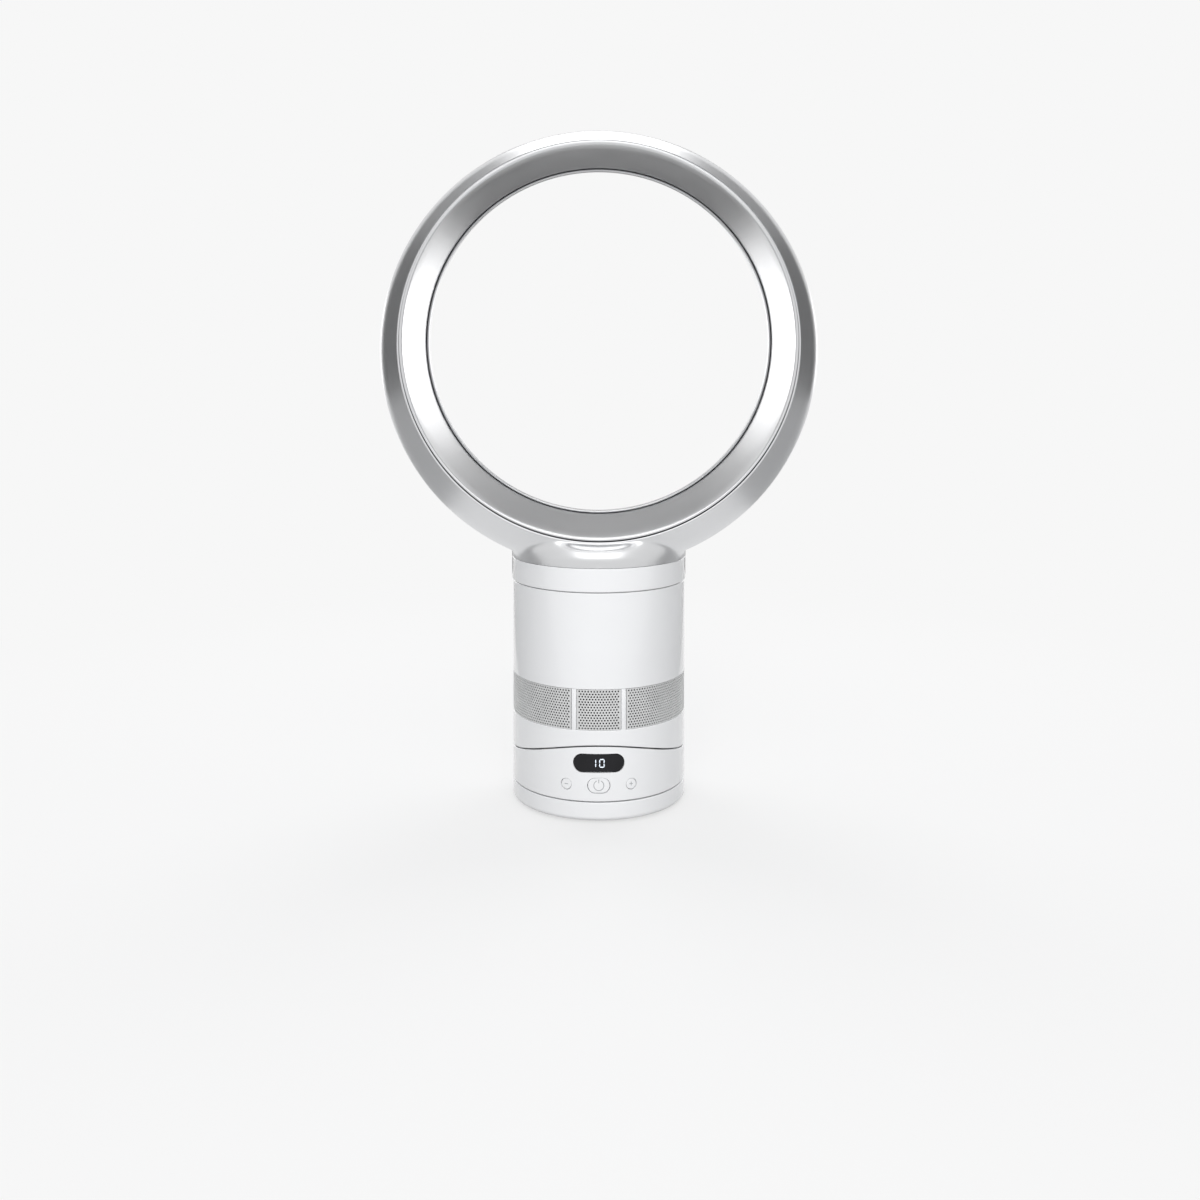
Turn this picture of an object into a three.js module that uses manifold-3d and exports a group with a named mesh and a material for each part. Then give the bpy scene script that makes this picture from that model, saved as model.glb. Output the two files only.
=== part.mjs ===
// A bladeless desk fan: a round foot, a control base that swings on it, a body that tilts on the
// control base and holds the motor and impeller, and a loop that the air leaves by.
// Millimetres, +Z up. The front faces -Y, the origin is on the floor at the middle of the fan.

import * as THREE from 'three';
import { mergeVertices } from 'three/addons/utils/BufferGeometryUtils.js';
import Module from 'manifold-3d';

const wasm = await Module();
wasm.setup();

// ---- Driving dimensions ----

// Clearances
const fitGap = 0.3; // between pieces that nest
const runningGap = 0.8; // between pieces that move past each other
const slideGap = 0.4; // under a piece that slides on another

// Facets of a full turn
const loopFacets = 40;
const bodyFacets = 36;
const innerFacets = 18;
const smallFacets = 6;

// Loop amplifier: radii about the bore axis, depths along it, the front edge first
const loopDepth = 100;
const throatRadius = 127; // lip of the air slot
const boreStep = 2; // the bore is this much wider than the lip
const mouthFlare = 7.5; // and its front edge this much wider
const loopBand = 19.3; // front edge of the bore to the outer wall
const loopAxisDrop = 6; // the outer wall is turned about a lower axis than the bore
const loopSink = 6.3; // how far the round of the loop would dip under the collar's top
const coneAngle = 42; // front cone, from the bore axis
const shoulderRadius = 30;
const noseRise = 1.4; // round nose of the front edge
const rearRoundRadius = 16;
const lipRollRadius = 9;
const lipLength = 7;
const airSlot = 1.2;
const boreNeckDepth = 24; // where the bore is narrowest, behind the middle
const curlRadius = 7; // the surface that the air jet follows
const curlEnd = 110; // where its round ends, degrees
const casingWall = 2.2;
const lipWall = 1.3;
const innerCasingWall = 2;
const loopSeamDepth = 8; // front casing to rear casing

// Round body
const bodyRadius = 61.5;
const bodyWall = 2.4;
const collarProud = 0.7; // the collar stands out from the body

// Levels above the floor
const padHeight = 1.3;
const footTop = 13.8;
const swivelSeam = 0.8;
const inletBottom = 62.3;
const inletTop = 89.9;
const upperCasingTop = 154.9;
const collarBottom = 155.5;
const collarTop = 171.5;
const neckStraight = 3.2; // upright part of the neck above the collar

// Foot
const footWall = 3.2;
const footFillet = 3;
const coverThickness = 2;
const deckThickness = 2.2;
const gearRecessDepth = 5.4;
const recessWall = 2.4;
const padRadius = 6;
const padInset = 17.5; // middle of a pad, from the outside of the body
const ballastThickness = 2.6;
const footScrewInset = 4.8; // middle of a screw, from the inside of the foot's skirt
const footBossRadius = 3.4;
const recessInset = 7.5; // gear recess, from the middle of a screw
const screwShankRadius = 1;
const screwHeadRadius = 2.6;
const screwHeadHeight = 1.2;
const screwLength = 7;
const screwLead = 22; // turn of the first screw from the +X side, degrees

// Swivel
const hubRadius = 11;
const hubBoreRadius = 7.5;
const hubFlangeRadius = 16;
const hubFlangeThickness = 1.8;
const retainerRadius = 15;
const retainerThickness = 1;
const retainerGroove = 1.2;
const washerInset = 1.8; // from the edge of the control base's floor
const washerWidth = 7;
const gearModule = 1.5;
const ringGearTeeth = 30;
const pinionTeeth = 10;
const gearThickness = 4;
const gearBoreRadius = 14;
const pinionShaftRadius = 2;
const pinionShaftLength = 9;

// Power inlet at the rear of the foot
const inletBlockWidth = 11;
const inletBlockDepth = 8.6;
const inletNoseWall = 0.7;
const inletBoreDepth = 10;
const inletPinRadius = 0.9;
const inletPinLength = 4;
const inletRecess = 0.5; // nose behind the outside of the foot

// Control base
const floorThickness = 2.2;
const displayWidth = 35.4;
const displayHeight = 12.8;
const displayDrop = 4.9; // under the edge of the control base
const lensThickness = 2;
const boardThickness = 1.6;
const displayBoardSetback = 5.6;
const digitBlockDepth = 2.2;
const digitBlockMargin = 1;
const buttonDrop = 3.6; // power button under the display
const sideButtonAngle = 21;
const sideButtonSize = 7.2;
const powerButtonWidth = 15;
const powerButtonHeight = 10;
const buttonTravel = 0.6;
const buttonSkin = 1.9;
const buttonFlange = 0.8;
const buttonFlangeThickness = 1.2;
const buttonStemRadius = 1.6;
const switchBoardSetback = 10.1; // its front face, from the outside of the body
const switchBoardWidth = 44;
const switchBoardHeight = 16;
const controlBoardWidth = 24;
const controlBoardLength = 44;
const controlBoardInset = 13.8;
const capacitorRadius = 4;
const capacitorHeight = 9;
const swingMotorRadius = 11;
const swingMotorGap = 2; // under the tilt slide's retainer

// Tilt slide, an arc about an X axis high in the body
const tiltSlideLevel = 37.5; // its lowest point
const tiltRadius = 136.5;
const tiltRange = 10; // degrees each way
const cradleWall = 2.4;
const shoeWall = 2.2;
const tongueWidth = 20;
const tongueLength = 16;
const wireHoleRadius = 4;
const retainerOverlap = 6;
const tiltRetainerWall = 2.2;
const glideOffset = 34;
const glideWidth = 8;
const glideInset = 4.9; // its ends, from the wall of the body
const glideThickness = 0.5;

// Air inlet
const ribWidth = 3.3;
const ribAngles = [16, 90, 164, -164, -90, -16]; // from the front, in order round the body
const ribDepth = 6.5;
const meshThickness = 0.8;
const meshRecess = 0.3;
const meshSlots = 4;
const meshSlotHeight = 3.2;
const ledgeGap = 0.6; // over the tilt shoe
const ledgeThickness = 2.2;
const ledgeWidth = 7.1;
const foamDiscThickness = 7;

// Impeller housing and motor
const bellFlangeThickness = 2;
const bellStep = 4.6; // throat of the bell, from the bore of the housing
const bellWall = 1.6;
const bellHeight = 7.6;
const housingWall = 2;
const housingTop = 149;
const sealThickness = 2;
const casingFlangeThickness = 2.2;
const casingFlangeWidth = 7.1;
const foamRingWall = 7.9;
const foamRingTop = 140;
const impellerBladeCount = 7;
const impellerBladeThickness = 1.4;
const impellerBladeSweep = 42;
const impellerHeight = 20;
const hubTopRadius = 34.5;
const hubNoseRadius = 9;
const shroudWall = 1.2;
const shroudHeight = 14.8;
const shaftRadius = 2.5;
const shaftLength = 47;
const rotorRadius = 9.6;
const rotorLength = 12;
const bucketRadius = 35;
const bucketWall = 2;
const bucketSplit = 134.3;
const bucketDomeRise = 16.5;
const bearingRadius = 6.5;
const bearingWidth = 3;
const bearingBossWall = 1.8;
const statorRadius = 20;
const statorLength = 14;
const statorSlots = 6;
const statorSlotRadius = 2.3;
const mountRingHeight = 7;
const vaneCount = 7;
const vaneThickness = 1.3;
const vaneHeight = 10;

// Collar
const spigotWall = 4.5;
const nozzleSealThickness = 1.5;

// ---- Places worked out from them ----

const degree = Math.PI / 180;
const shellInnerRadius = bodyRadius - bodyWall;
const insideRadius = shellInnerRadius - fitGap;
const collarRadius = bodyRadius + collarProud;

const coverTop = padHeight + coverThickness;
const recessFloor = footTop - gearRecessDepth;
const recessUnderside = recessFloor - deckThickness;
const outerDeckUnderside = footTop - recessWall;
const footScrewCircle = bodyRadius - footWall - footScrewInset;
const gearRecessRadius = footScrewCircle - recessInset;
const ballastRadius = gearRecessRadius + recessWall - 2 * fitGap;
const padCircle = bodyRadius - padInset;
const inletNoseRadius = (outerDeckUnderside - coverTop - fitGap) / 2;
const inletBoreRadius = inletNoseRadius - inletNoseWall;
const baseBottom = footTop + swivelSeam;
const floorTop = baseBottom + floorThickness;
const hubBottom = coverTop + slideGap;
const gearTop = recessFloor + gearThickness;
const ringGearRadius = gearModule * ringGearTeeth / 2;
const pinionRadius = gearModule * pinionTeeth / 2;
const swingMotorCentre = ringGearRadius + pinionRadius;
const washerOuterRadius = insideRadius - washerInset;
const washerInnerRadius = washerOuterRadius - washerWidth;
const switchBoardDepth = bodyRadius - switchBoardSetback;

const tiltAxisHeight = tiltSlideLevel + tiltRadius;
const baseArcRadius = tiltRadius + runningGap / 2;
const bodyArcRadius = tiltRadius - runningGap / 2;
const cradleUnderRadius = baseArcRadius + cradleWall;
const tiltRetainerRadius = cradleUnderRadius + slideGap + fitGap;
const swingMotorTop = tiltAxisHeight - tiltRetainerRadius - tiltRetainerWall - swingMotorGap;
const glideReach = Math.sqrt(insideRadius ** 2 - (glideOffset + glideWidth / 2) ** 2) - glideInset;
const displayLevel = arcLevel(baseArcRadius, bodyRadius) - displayDrop - displayHeight / 2;
const buttonLevel = displayLevel - displayHeight / 2 - buttonDrop - powerButtonHeight / 2;
const ledgeLevel = arcLevel(bodyArcRadius - shoeWall, insideRadius) + ledgeGap;
const controlBoardOffset = insideRadius - controlBoardInset - controlBoardWidth / 2;

const ribInnerRadius = bodyRadius - ribDepth;
const ledgeInnerRadius = shellInnerRadius - ledgeWidth;
const bellTop = inletTop + bellHeight;
const housingRadius = insideRadius - foamRingWall - 3 * fitGap;
const housingBottom = inletTop + bellFlangeThickness;
const housingBore = housingRadius - housingWall;
const bellThroatRadius = housingBore - bellStep;
const casingFlangeRadius = shellInnerRadius - casingFlangeWidth;
const impellerBottom = bellTop + runningGap;
const impellerTop = impellerBottom + impellerHeight;
const bucketBottom = impellerTop + runningGap;
const motorFloor = bucketBottom + bucketWall;
const statorBottom = motorFloor + bearingWidth + runningGap;
const upperBearingBottom = statorBottom + statorLength + fitGap;
const casingFlangeBottom = housingTop + sealThickness;
const casingFlangeTop = casingFlangeBottom + casingFlangeThickness;
const spigotBottom = casingFlangeTop + nozzleSealThickness;
const spigotRadius = shellInnerRadius - 2 * fitGap;
const spigotInnerRadius = spigotRadius - spigotWall;
const sleeveRadius = collarRadius - bodyWall - fitGap;
const sleeveTop = collarTop + neckStraight - fitGap;
const neckBottom = collarTop + fitGap;
const neckShoulder = collarTop + neckStraight + fitGap;

const boreRadius = throatRadius + boreStep;
const mouthRadius = throatRadius + mouthFlare;
const loopOuterRadius = mouthRadius + loopBand;
const boreAxisHeight = collarTop - loopSink + loopOuterRadius + loopAxisDrop;
const loopFront = -loopDepth / 2;
const loopRear = loopDepth / 2;
const frontCasingRadius = mouthRadius + innerCasingWall + fitGap;
const slotSurfaceRadius = throatRadius + lipWall + airSlot;
const lipRollDepth = loopRear - lipRollRadius;
const lipTipDepth = lipRollDepth - lipLength;

// ---- Geometry helpers ----

// Level of an arc about the tilt axis, at a distance in front of the middle
function arcLevel(radius, distance) {
  return tiltAxisHeight - Math.sqrt(radius ** 2 - distance ** 2);
}

function windingVolume(points, faces) {
  const corner = [0, 1, 2].map(() => new THREE.Vector3());
  let volume = 0;
  for (let i = 0; i < faces.length; i += 3) {
    corner.forEach((v, k) => v.fromArray(points, 3 * faces[i + k]));
    volume += corner[0].dot(corner[1].cross(corner[2]));
  }
  return volume;
}

// A closed three.js geometry as a solid, with its faces pointing out
function solid(geometry) {
  geometry.deleteAttribute('normal');
  geometry.deleteAttribute('uv');
  const joined = mergeVertices(geometry, 1e-4);
  const points = joined.attributes.position.array;
  const index = Array.from(joined.index.array);
  const faces = [];
  for (let i = 0; i < index.length; i += 3) {
    const [a, b, c] = index.slice(i, i + 3);
    if (a !== b && b !== c && c !== a) faces.push(a, b, c);
  }
  if (windingVolume(points, faces) < 0) faces.reverse();
  const mesh = { numProp: 3, vertProperties: new Float32Array(points), triVerts: new Uint32Array(faces) };
  return new wasm.Manifold(new wasm.Mesh(mesh));
}

function joinAll(parts) {
  return parts.reduce((whole, next) => whole.add(next));
}

function lathe(profile, facets) {
  const onAxis = profile[0][0] === 0 && profile.at(-1)[0] === 0;
  const closed = onAxis ? profile : [...profile, profile[0]];
  return new THREE.LatheGeometry(closed.map(([r, h]) => new THREE.Vector2(r, h)), facets);
}

// Turned about the Z axis from [radius, height] points
function turned(profile, facets = innerFacets) {
  return solid(lathe(profile, facets).rotateX(Math.PI / 2));
}

function ring(inner, outer, bottom, top, facets = innerFacets) {
  return turned([[inner, bottom], [outer, bottom], [outer, top], [inner, top]], facets);
}

function disc(radius, bottom, top, facets = innerFacets) {
  return turned([[0, bottom], [radius, bottom], [radius, top], [0, top]], facets);
}

// A small disc, also away from the middle
function peg(radius, bottom, top, x = 0, y = 0, facets = smallFacets) {
  const height = top - bottom;
  const geometry = new THREE.CylinderGeometry(radius, radius, height, facets);
  return solid(geometry.rotateX(Math.PI / 2).translate(x, y, bottom + height / 2));
}

function block(width, depth, bottom, top, x = 0, y = 0) {
  const height = top - bottom;
  return solid(new THREE.BoxGeometry(width, depth, height).translate(x, y, bottom + height / 2));
}

function outline(points) {
  return new THREE.Shape(points.map(([x, y]) => new THREE.Vector2(x, y)));
}

// A flat outline in X and Y, raised from bottom to top
function raised(shape, bottom, top, curveSegments = 4) {
  const settings = { depth: top - bottom, bevelEnabled: false, curveSegments };
  return solid(new THREE.ExtrudeGeometry(shape, settings).translate(0, 0, bottom));
}

// An outline across and up, pushed out through the wall from radius near to radius far,
// and turned from the front by an angle in degrees
function radialPrism(shape, near, far, angle = 0, curveSegments = 4) {
  const settings = { depth: far - near, bevelEnabled: false, curveSegments };
  const axes = new THREE.Matrix4().makeBasis(
    new THREE.Vector3(1, 0, 0), new THREE.Vector3(0, 0, 1), new THREE.Vector3(0, -1, 0));
  const geometry = new THREE.ExtrudeGeometry(shape, settings).translate(0, 0, near);
  return solid(geometry.applyMatrix4(axes).rotateZ(angle * degree));
}

function rounded(width, height, level) {
  const r = height / 2;
  const half = width / 2 - r;
  const shape = new THREE.Shape();
  shape.absarc(half, level, r, -Math.PI / 2, Math.PI / 2);
  shape.absarc(-half, level, r, Math.PI / 2, 3 * Math.PI / 2);
  shape.closePath();
  return shape;
}

// Everything nearer to the tilt axis than a radius, across the whole body
function tiltCore(radius) {
  const reach = 34 * degree;
  const steps = 14;
  const points = [];
  for (let i = 0; i <= steps; i += 1) {
    const turn = -reach + 2 * reach * i / steps;
    points.push([radius * Math.sin(turn), tiltAxisHeight - radius * Math.cos(turn)]);
  }
  const top = tiltAxisHeight - radius / 4;
  points.push([points.at(-1)[0], top], [points[0][0], top]);
  const settings = { depth: 3 * bodyRadius, bevelEnabled: false };
  const axes = new THREE.Matrix4().makeBasis(
    new THREE.Vector3(0, 1, 0), new THREE.Vector3(0, 0, 1), new THREE.Vector3(1, 0, 0));
  const geometry = new THREE.ExtrudeGeometry(outline(points), settings);
  return solid(geometry.translate(0, 0, -1.5 * bodyRadius).applyMatrix4(axes));
}

// A plate bent about the tilt axis, trimmed by a mask
function tiltPlate(innerRadius, outerRadius, mask) {
  return mask.intersect(tiltCore(outerRadius)).subtract(tiltCore(innerRadius));
}

// Turned about the bore axis from [radius, depth] points, and lowered towards the outside so
// that the bore and the outer wall have their own axes
function loopTurned(profile) {
  const geometry = lathe(profile, loopFacets);
  const place = geometry.attributes.position;
  for (let i = 0; i < place.count; i += 1) {
    const radius = Math.hypot(place.getX(i), place.getZ(i));
    const share = THREE.MathUtils.clamp((radius - mouthRadius) / (loopOuterRadius - mouthRadius), 0, 1);
    place.setZ(i, place.getZ(i) - share * loopAxisDrop);
  }
  return solid(geometry.translate(0, 0, boreAxisHeight));
}

function arc(radius, centreRadius, centreDepth, from, to, steps) {
  const points = [];
  for (let i = 0; i <= steps; i += 1) {
    const turn = (from + (to - from) * i / steps) * degree;
    points.push([centreRadius + radius * Math.cos(turn), centreDepth + radius * Math.sin(turn)]);
  }
  return points;
}

function gearOutline(teeth, phase, boreRadius = 0) {
  const pitch = gearModule * teeth / 2;
  const tip = pitch + 0.75 * gearModule;
  const root = pitch - gearModule;
  const corners = [[root, -0.32], [tip, -0.13], [tip, 0.13], [root, 0.32]];
  const points = [];
  for (let tooth = 0; tooth < teeth; tooth += 1) {
    for (const [radius, share] of corners) {
      const turn = (tooth + phase + share) * 2 * Math.PI / teeth;
      points.push([radius * Math.cos(turn), radius * Math.sin(turn)]);
    }
  }
  const shape = outline(points);
  if (boreRadius > 0) shape.holes.push(new THREE.Path().absarc(0, 0, boreRadius, 0, 2 * Math.PI));
  return shape;
}

// ---- Materials ----

function finish(color, roughness, metalness = 0) {
  return () => new THREE.MeshStandardMaterial({ color, roughness, metalness, flatShading: true });
}

const whiteGloss = finish(0xf1f1ee, 0.25);
const silverPaint = finish(0xb4b7ba, 0.3, 0.6);
const silverMesh = finish(0xb9bbbd, 0.45, 0.7);
const blackGloss = finish(0x0c0c0e, 0.08);
const greyPlastic = finish(0x8c9094, 0.5);
const darkPlastic = finish(0x3c4044, 0.5);
const nylon = finish(0xe4e0d2, 0.45);
const rubber = finish(0x2b2b2c, 0.85);
const foam = finish(0x4b4d50, 0.95);
const steel = finish(0x9a9da0, 0.35, 0.95);
const circuitGreen = finish(0x1f5c3a, 0.5);
const brass = finish(0xb5913f, 0.35, 0.9);

function piece(name, shape, material) {
  const mesh = shape.getMesh();
  const geometry = new THREE.BufferGeometry();
  geometry.setAttribute('position', new THREE.BufferAttribute(mesh.vertProperties, 3));
  geometry.setIndex(new THREE.BufferAttribute(mesh.triVerts, 1));
  geometry.computeVertexNormals();
  const node = new THREE.Mesh(geometry, material());
  node.name = name;
  return node;
}

// ---- Foot ----

function footScrewPlaces() {
  return [0, 1, 2, 3].map((i) => {
    const turn = (screwLead + 90 * i) * degree;
    return [footScrewCircle * Math.cos(turn), footScrewCircle * Math.sin(turn)];
  });
}

function footShell() {
  const skirt = bodyRadius - footWall;
  const fillet = arc(footFillet, bodyRadius - footFillet, padHeight + footFillet, 0, -90, 2);
  const shell = turned([
    [hubRadius + fitGap, recessUnderside],
    [hubRadius + fitGap, recessFloor],
    [gearRecessRadius, recessFloor],
    [gearRecessRadius, footTop],
    [bodyRadius, footTop],
    ...fillet,
    [skirt, padHeight],
    [skirt, outerDeckUnderside],
    [gearRecessRadius + recessWall, outerDeckUnderside],
    [gearRecessRadius + recessWall, recessUnderside],
  ], bodyFacets);
  const bosses = footScrewPlaces().map(([x, y]) => (
    peg(footBossRadius, coverTop, outerDeckUnderside + recessWall / 2, x, y)));
  const pilot = screwShankRadius + fitGap;
  const holeTop = coverTop + screwLength;
  const holes = footScrewPlaces().map(([x, y]) => peg(pilot, padHeight, holeTop, x, y));
  return joinAll([shell, ...bosses]).subtract(joinAll(holes)).subtract(inletWindow());
}

function bottomCover() {
  const plate = disc(bodyRadius - footWall - fitGap, padHeight, coverTop, bodyFacets);
  const holes = footScrewPlaces().flatMap(([x, y]) => [
    peg(screwShankRadius + fitGap, 0, footTop, x, y),
    peg(screwHeadRadius + fitGap, 0, padHeight + screwHeadHeight, x, y),
  ]);
  return plate.subtract(joinAll(holes));
}

// Countersunk into the cover, so its own origin is the underside of the cover
function footScrew() {
  const headTop = screwHeadHeight;
  return turned([
    [0, fitGap],
    [screwHeadRadius, fitGap],
    [screwHeadRadius, headTop],
    [screwShankRadius, headTop],
    [screwShankRadius, screwLength],
    [0, screwLength],
  ], smallFacets);
}

function rubberPad() {
  const chamfer = padHeight / 3;
  return turned([
    [0, 0],
    [padRadius - chamfer, 0],
    [padRadius, chamfer],
    [padRadius, padHeight],
    [0, padHeight],
  ], 12);
}

function ballastPlate() {
  const top = coverTop + ballastThickness;
  return ring(retainerRadius + 2 * runningGap, ballastRadius, coverTop, top);
}

function ringGear() {
  return raised(gearOutline(ringGearTeeth, 0, gearBoreRadius), recessFloor, gearTop);
}

function inletLevel() {
  return (coverTop + outerDeckUnderside) / 2;
}

function rearRod(radius, from, to, facets = 12) {
  const length = to - from;
  const geometry = new THREE.CylinderGeometry(radius, radius, length, facets);
  return solid(geometry.translate(0, from + length / 2, inletLevel()));
}

function inletWindow() {
  const skirt = bodyRadius - footWall;
  return rearRod(inletNoseRadius + fitGap, skirt - runningGap, bodyRadius + runningGap);
}

function powerInlet() {
  const face = bodyRadius - inletRecess;
  const blockRear = bodyRadius - footWall - runningGap;
  const blockMiddle = blockRear - inletBlockDepth / 2;
  const casing = block(inletBlockWidth, inletBlockDepth, coverTop + fitGap / 2,
    outerDeckUnderside - fitGap / 2, 0, blockMiddle);
  const boreEnd = face - inletBoreDepth;
  const nose = rearRod(inletNoseRadius, blockMiddle, face);
  const bore = rearRod(inletBoreRadius, boreEnd, face + runningGap);
  const pin = rearRod(inletPinRadius, boreEnd - runningGap, boreEnd + inletPinLength, 6);
  return casing.add(nose).subtract(bore).add(pin);
}

function thrustWasher() {
  return ring(washerInnerRadius, washerOuterRadius, footTop, baseBottom);
}

// ---- Control base, which swings on the foot ----

function buttonAngles() {
  return { button_speed_down: -sideButtonAngle, button_power: 0, button_speed_up: sideButtonAngle };
}

function buttonOutline(name, grow) {
  const power = name === 'button_power';
  const width = (power ? powerButtonWidth : sideButtonSize) + 2 * grow;
  const height = (power ? powerButtonHeight : sideButtonSize) + 2 * grow;
  return rounded(width, height, buttonLevel);
}

function controlBaseShell() {
  const near = shellInnerRadius - 6;
  const far = bodyRadius + runningGap;
  const tube = ring(shellInnerRadius, bodyRadius, baseBottom, tiltAxisHeight / 2, bodyFacets);
  const window = radialPrism(rounded(displayWidth, displayHeight, displayLevel), near, far);
  const buttonHoles = Object.entries(buttonAngles()).map(([name, angle]) => (
    radialPrism(buttonOutline(name, fitGap), near, far, angle)));
  return tube.subtract(tiltCore(baseArcRadius)).subtract(window).subtract(joinAll(buttonHoles));
}

function controlBaseFloor() {
  const plate = disc(insideRadius, baseBottom, floorTop, bodyFacets);
  const wires = peg(hubBoreRadius, 0, tiltAxisHeight, 0, 0, innerFacets);
  const shaft = peg(pinionShaftRadius + runningGap, 0, tiltAxisHeight, 0, swingMotorCentre);
  return plate.subtract(wires).subtract(shaft);
}

function swivelHub() {
  const groove = hubRadius - retainerGroove;
  const grooveBottom = recessUnderside - slideGap - retainerThickness;
  const grooveTop = grooveBottom + retainerThickness;
  return turned([
    [hubBoreRadius, hubBottom],
    [hubRadius, hubBottom],
    [hubRadius, grooveBottom],
    [groove, grooveBottom],
    [groove, grooveTop],
    [hubRadius, grooveTop],
    [hubRadius, baseBottom - hubFlangeThickness],
    [hubFlangeRadius, baseBottom - hubFlangeThickness],
    [hubFlangeRadius, baseBottom],
    [hubBoreRadius, baseBottom],
  ]);
}

function swivelRetainer() {
  const top = recessUnderside - slideGap;
  const inner = hubRadius - retainerGroove + fitGap;
  return ring(inner, retainerRadius, top - retainerThickness, top);
}

function displayLens() {
  const wall = ring(bodyRadius - fitGap / 2 - lensThickness, bodyRadius - fitGap / 2,
    baseBottom, tiltAxisHeight / 2, 2 * bodyFacets);
  const width = displayWidth - 2 * fitGap;
  const height = displayHeight - 2 * fitGap;
  const near = shellInnerRadius - 6;
  return wall.intersect(radialPrism(rounded(width, height, displayLevel), near, bodyRadius));
}

function displayBoard() {
  const front = bodyRadius - displayBoardSetback;
  const bottom = displayLevel - displayHeight / 2 + fitGap;
  const top = arcLevel(cradleUnderRadius, front - boardThickness) - runningGap;
  const width = displayWidth - displayHeight / 2;
  const board = block(width, boardThickness, bottom, top, 0, boardThickness / 2 - front);
  const digits = block(width / 2, digitBlockDepth + boardThickness, bottom + digitBlockMargin,
    top - digitBlockMargin, 0, (boardThickness - digitBlockDepth) / 2 - front);
  return board.add(digits);
}

// Made at the front, and turned to its place
function pushButton(name) {
  const face = bodyRadius - fitGap;
  const flangeFace = shellInnerRadius - runningGap;
  const flangeBack = flangeFace - buttonFlangeThickness;
  const cap = radialPrism(buttonOutline(name, 0), flangeBack + fitGap, bodyRadius)
    .intersect(disc(face, 0, tiltAxisHeight / 2, 2 * bodyFacets));
  const flange = radialPrism(buttonOutline(name, buttonFlange), flangeBack, bodyRadius)
    .intersect(disc(flangeFace, 0, tiltAxisHeight / 2, 2 * bodyFacets));
  const slant = buttonAngles()[name] * degree;
  const corner = buttonStemRadius * Math.sin(Math.abs(slant));
  const stemEnd = (switchBoardDepth + corner) / Math.cos(slant) + buttonTravel + slideGap;
  const stem = radialPrism(rounded(2 * buttonStemRadius, 2 * buttonStemRadius, buttonLevel),
    stemEnd, face - buttonSkin);
  return joinAll([cap, flange, stem]);
}

function switchBoard() {
  const middle = boardThickness / 2 - switchBoardDepth;
  return block(switchBoardWidth, boardThickness, floorTop, floorTop + switchBoardHeight, 0, middle);
}

function controlBoard() {
  const top = floorTop + boardThickness;
  const board = block(controlBoardWidth, controlBoardLength, floorTop, top, -controlBoardOffset, 0);
  const capacitors = [-1, 1].map((side) => peg(capacitorRadius, floorTop + boardThickness / 2,
    top + capacitorHeight, -controlBoardOffset, side * controlBoardLength / 4, 8));
  return joinAll([board, ...capacitors]);
}

function swingMotor() {
  const can = peg(swingMotorRadius, floorTop, swingMotorTop, 0, swingMotorCentre, 16);
  const boreTop = gearTop + pinionShaftLength + slideGap;
  return can.subtract(peg(pinionShaftRadius + fitGap, 0, boreTop, 0, swingMotorCentre, 12));
}

// Its own origin is on its axis
function swingPinion() {
  const wheel = raised(gearOutline(pinionTeeth, 0.5), recessFloor + slideGap, gearTop - slideGap);
  return wheel.add(peg(pinionShaftRadius, recessFloor + 1, gearTop + pinionShaftLength));
}

function tiltCradle() {
  const mask = disc(insideRadius, 0, tiltAxisHeight / 2, bodyFacets);
  const plate = tiltPlate(baseArcRadius, cradleUnderRadius, mask);
  const swing = tiltRange * degree + tongueLength / 2 / baseArcRadius;
  const slotLength = 2 * (cradleUnderRadius * Math.sin(swing) + 2 * runningGap);
  return plate.subtract(block(tongueWidth + 2 * runningGap, slotLength, 0, tiltAxisHeight / 2));
}

function glideStrip(side) {
  const mask = block(glideWidth, 2 * glideReach, 0, tiltAxisHeight / 2, side * glideOffset);
  return tiltPlate(baseArcRadius - glideThickness, baseArcRadius - 0.001, mask);
}

// ---- Body, which tilts on the control base ----

function bodyLowerRing() {
  const tube = ring(shellInnerRadius, bodyRadius, baseBottom, inletBottom, bodyFacets);
  const ledge = ring(ledgeInnerRadius, bodyRadius - 1, ledgeLevel, ledgeLevel + ledgeThickness, bodyFacets);
  const depth = bodyRadius - ribInnerRadius;
  const ribs = ribAngles.map((angle) => {
    const shape = outline([
      [-ribWidth / 2, inletBottom - 4],
      [ribWidth / 2, inletBottom - 4],
      [ribWidth / 2, inletTop],
      [-ribWidth / 2, inletTop],
    ]);
    return radialPrism(shape, ribInnerRadius, ribInnerRadius + depth + 1, angle);
  });
  const trim = disc(bodyRadius, baseBottom, inletTop, 2 * bodyFacets);
  const lower = tube.intersect(tiltCore(bodyArcRadius));
  return joinAll([lower, ledge, joinAll(ribs).intersect(trim)]);
}

function tiltShoe() {
  const mask = disc(insideRadius, 0, tiltAxisHeight / 2, bodyFacets);
  const plate = tiltPlate(bodyArcRadius - shoeWall, bodyArcRadius, mask);
  const tongueEnd = tiltRetainerRadius - fitGap;
  const tongue = tiltPlate(bodyArcRadius - shoeWall / 2, tongueEnd,
    block(tongueWidth, tongueLength, 0, tiltAxisHeight / 2));
  return plate.add(tongue).subtract(peg(wireHoleRadius, 0, tiltAxisHeight));
}

function tiltRetainer() {
  const width = tongueWidth + 2 * retainerOverlap;
  const mask = block(width, tongueLength + retainerOverlap, 0, tiltAxisHeight / 2);
  const plate = tiltPlate(tiltRetainerRadius, tiltRetainerRadius + tiltRetainerWall, mask);
  return plate.subtract(peg(wireHoleRadius, 0, tiltAxisHeight));
}

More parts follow.
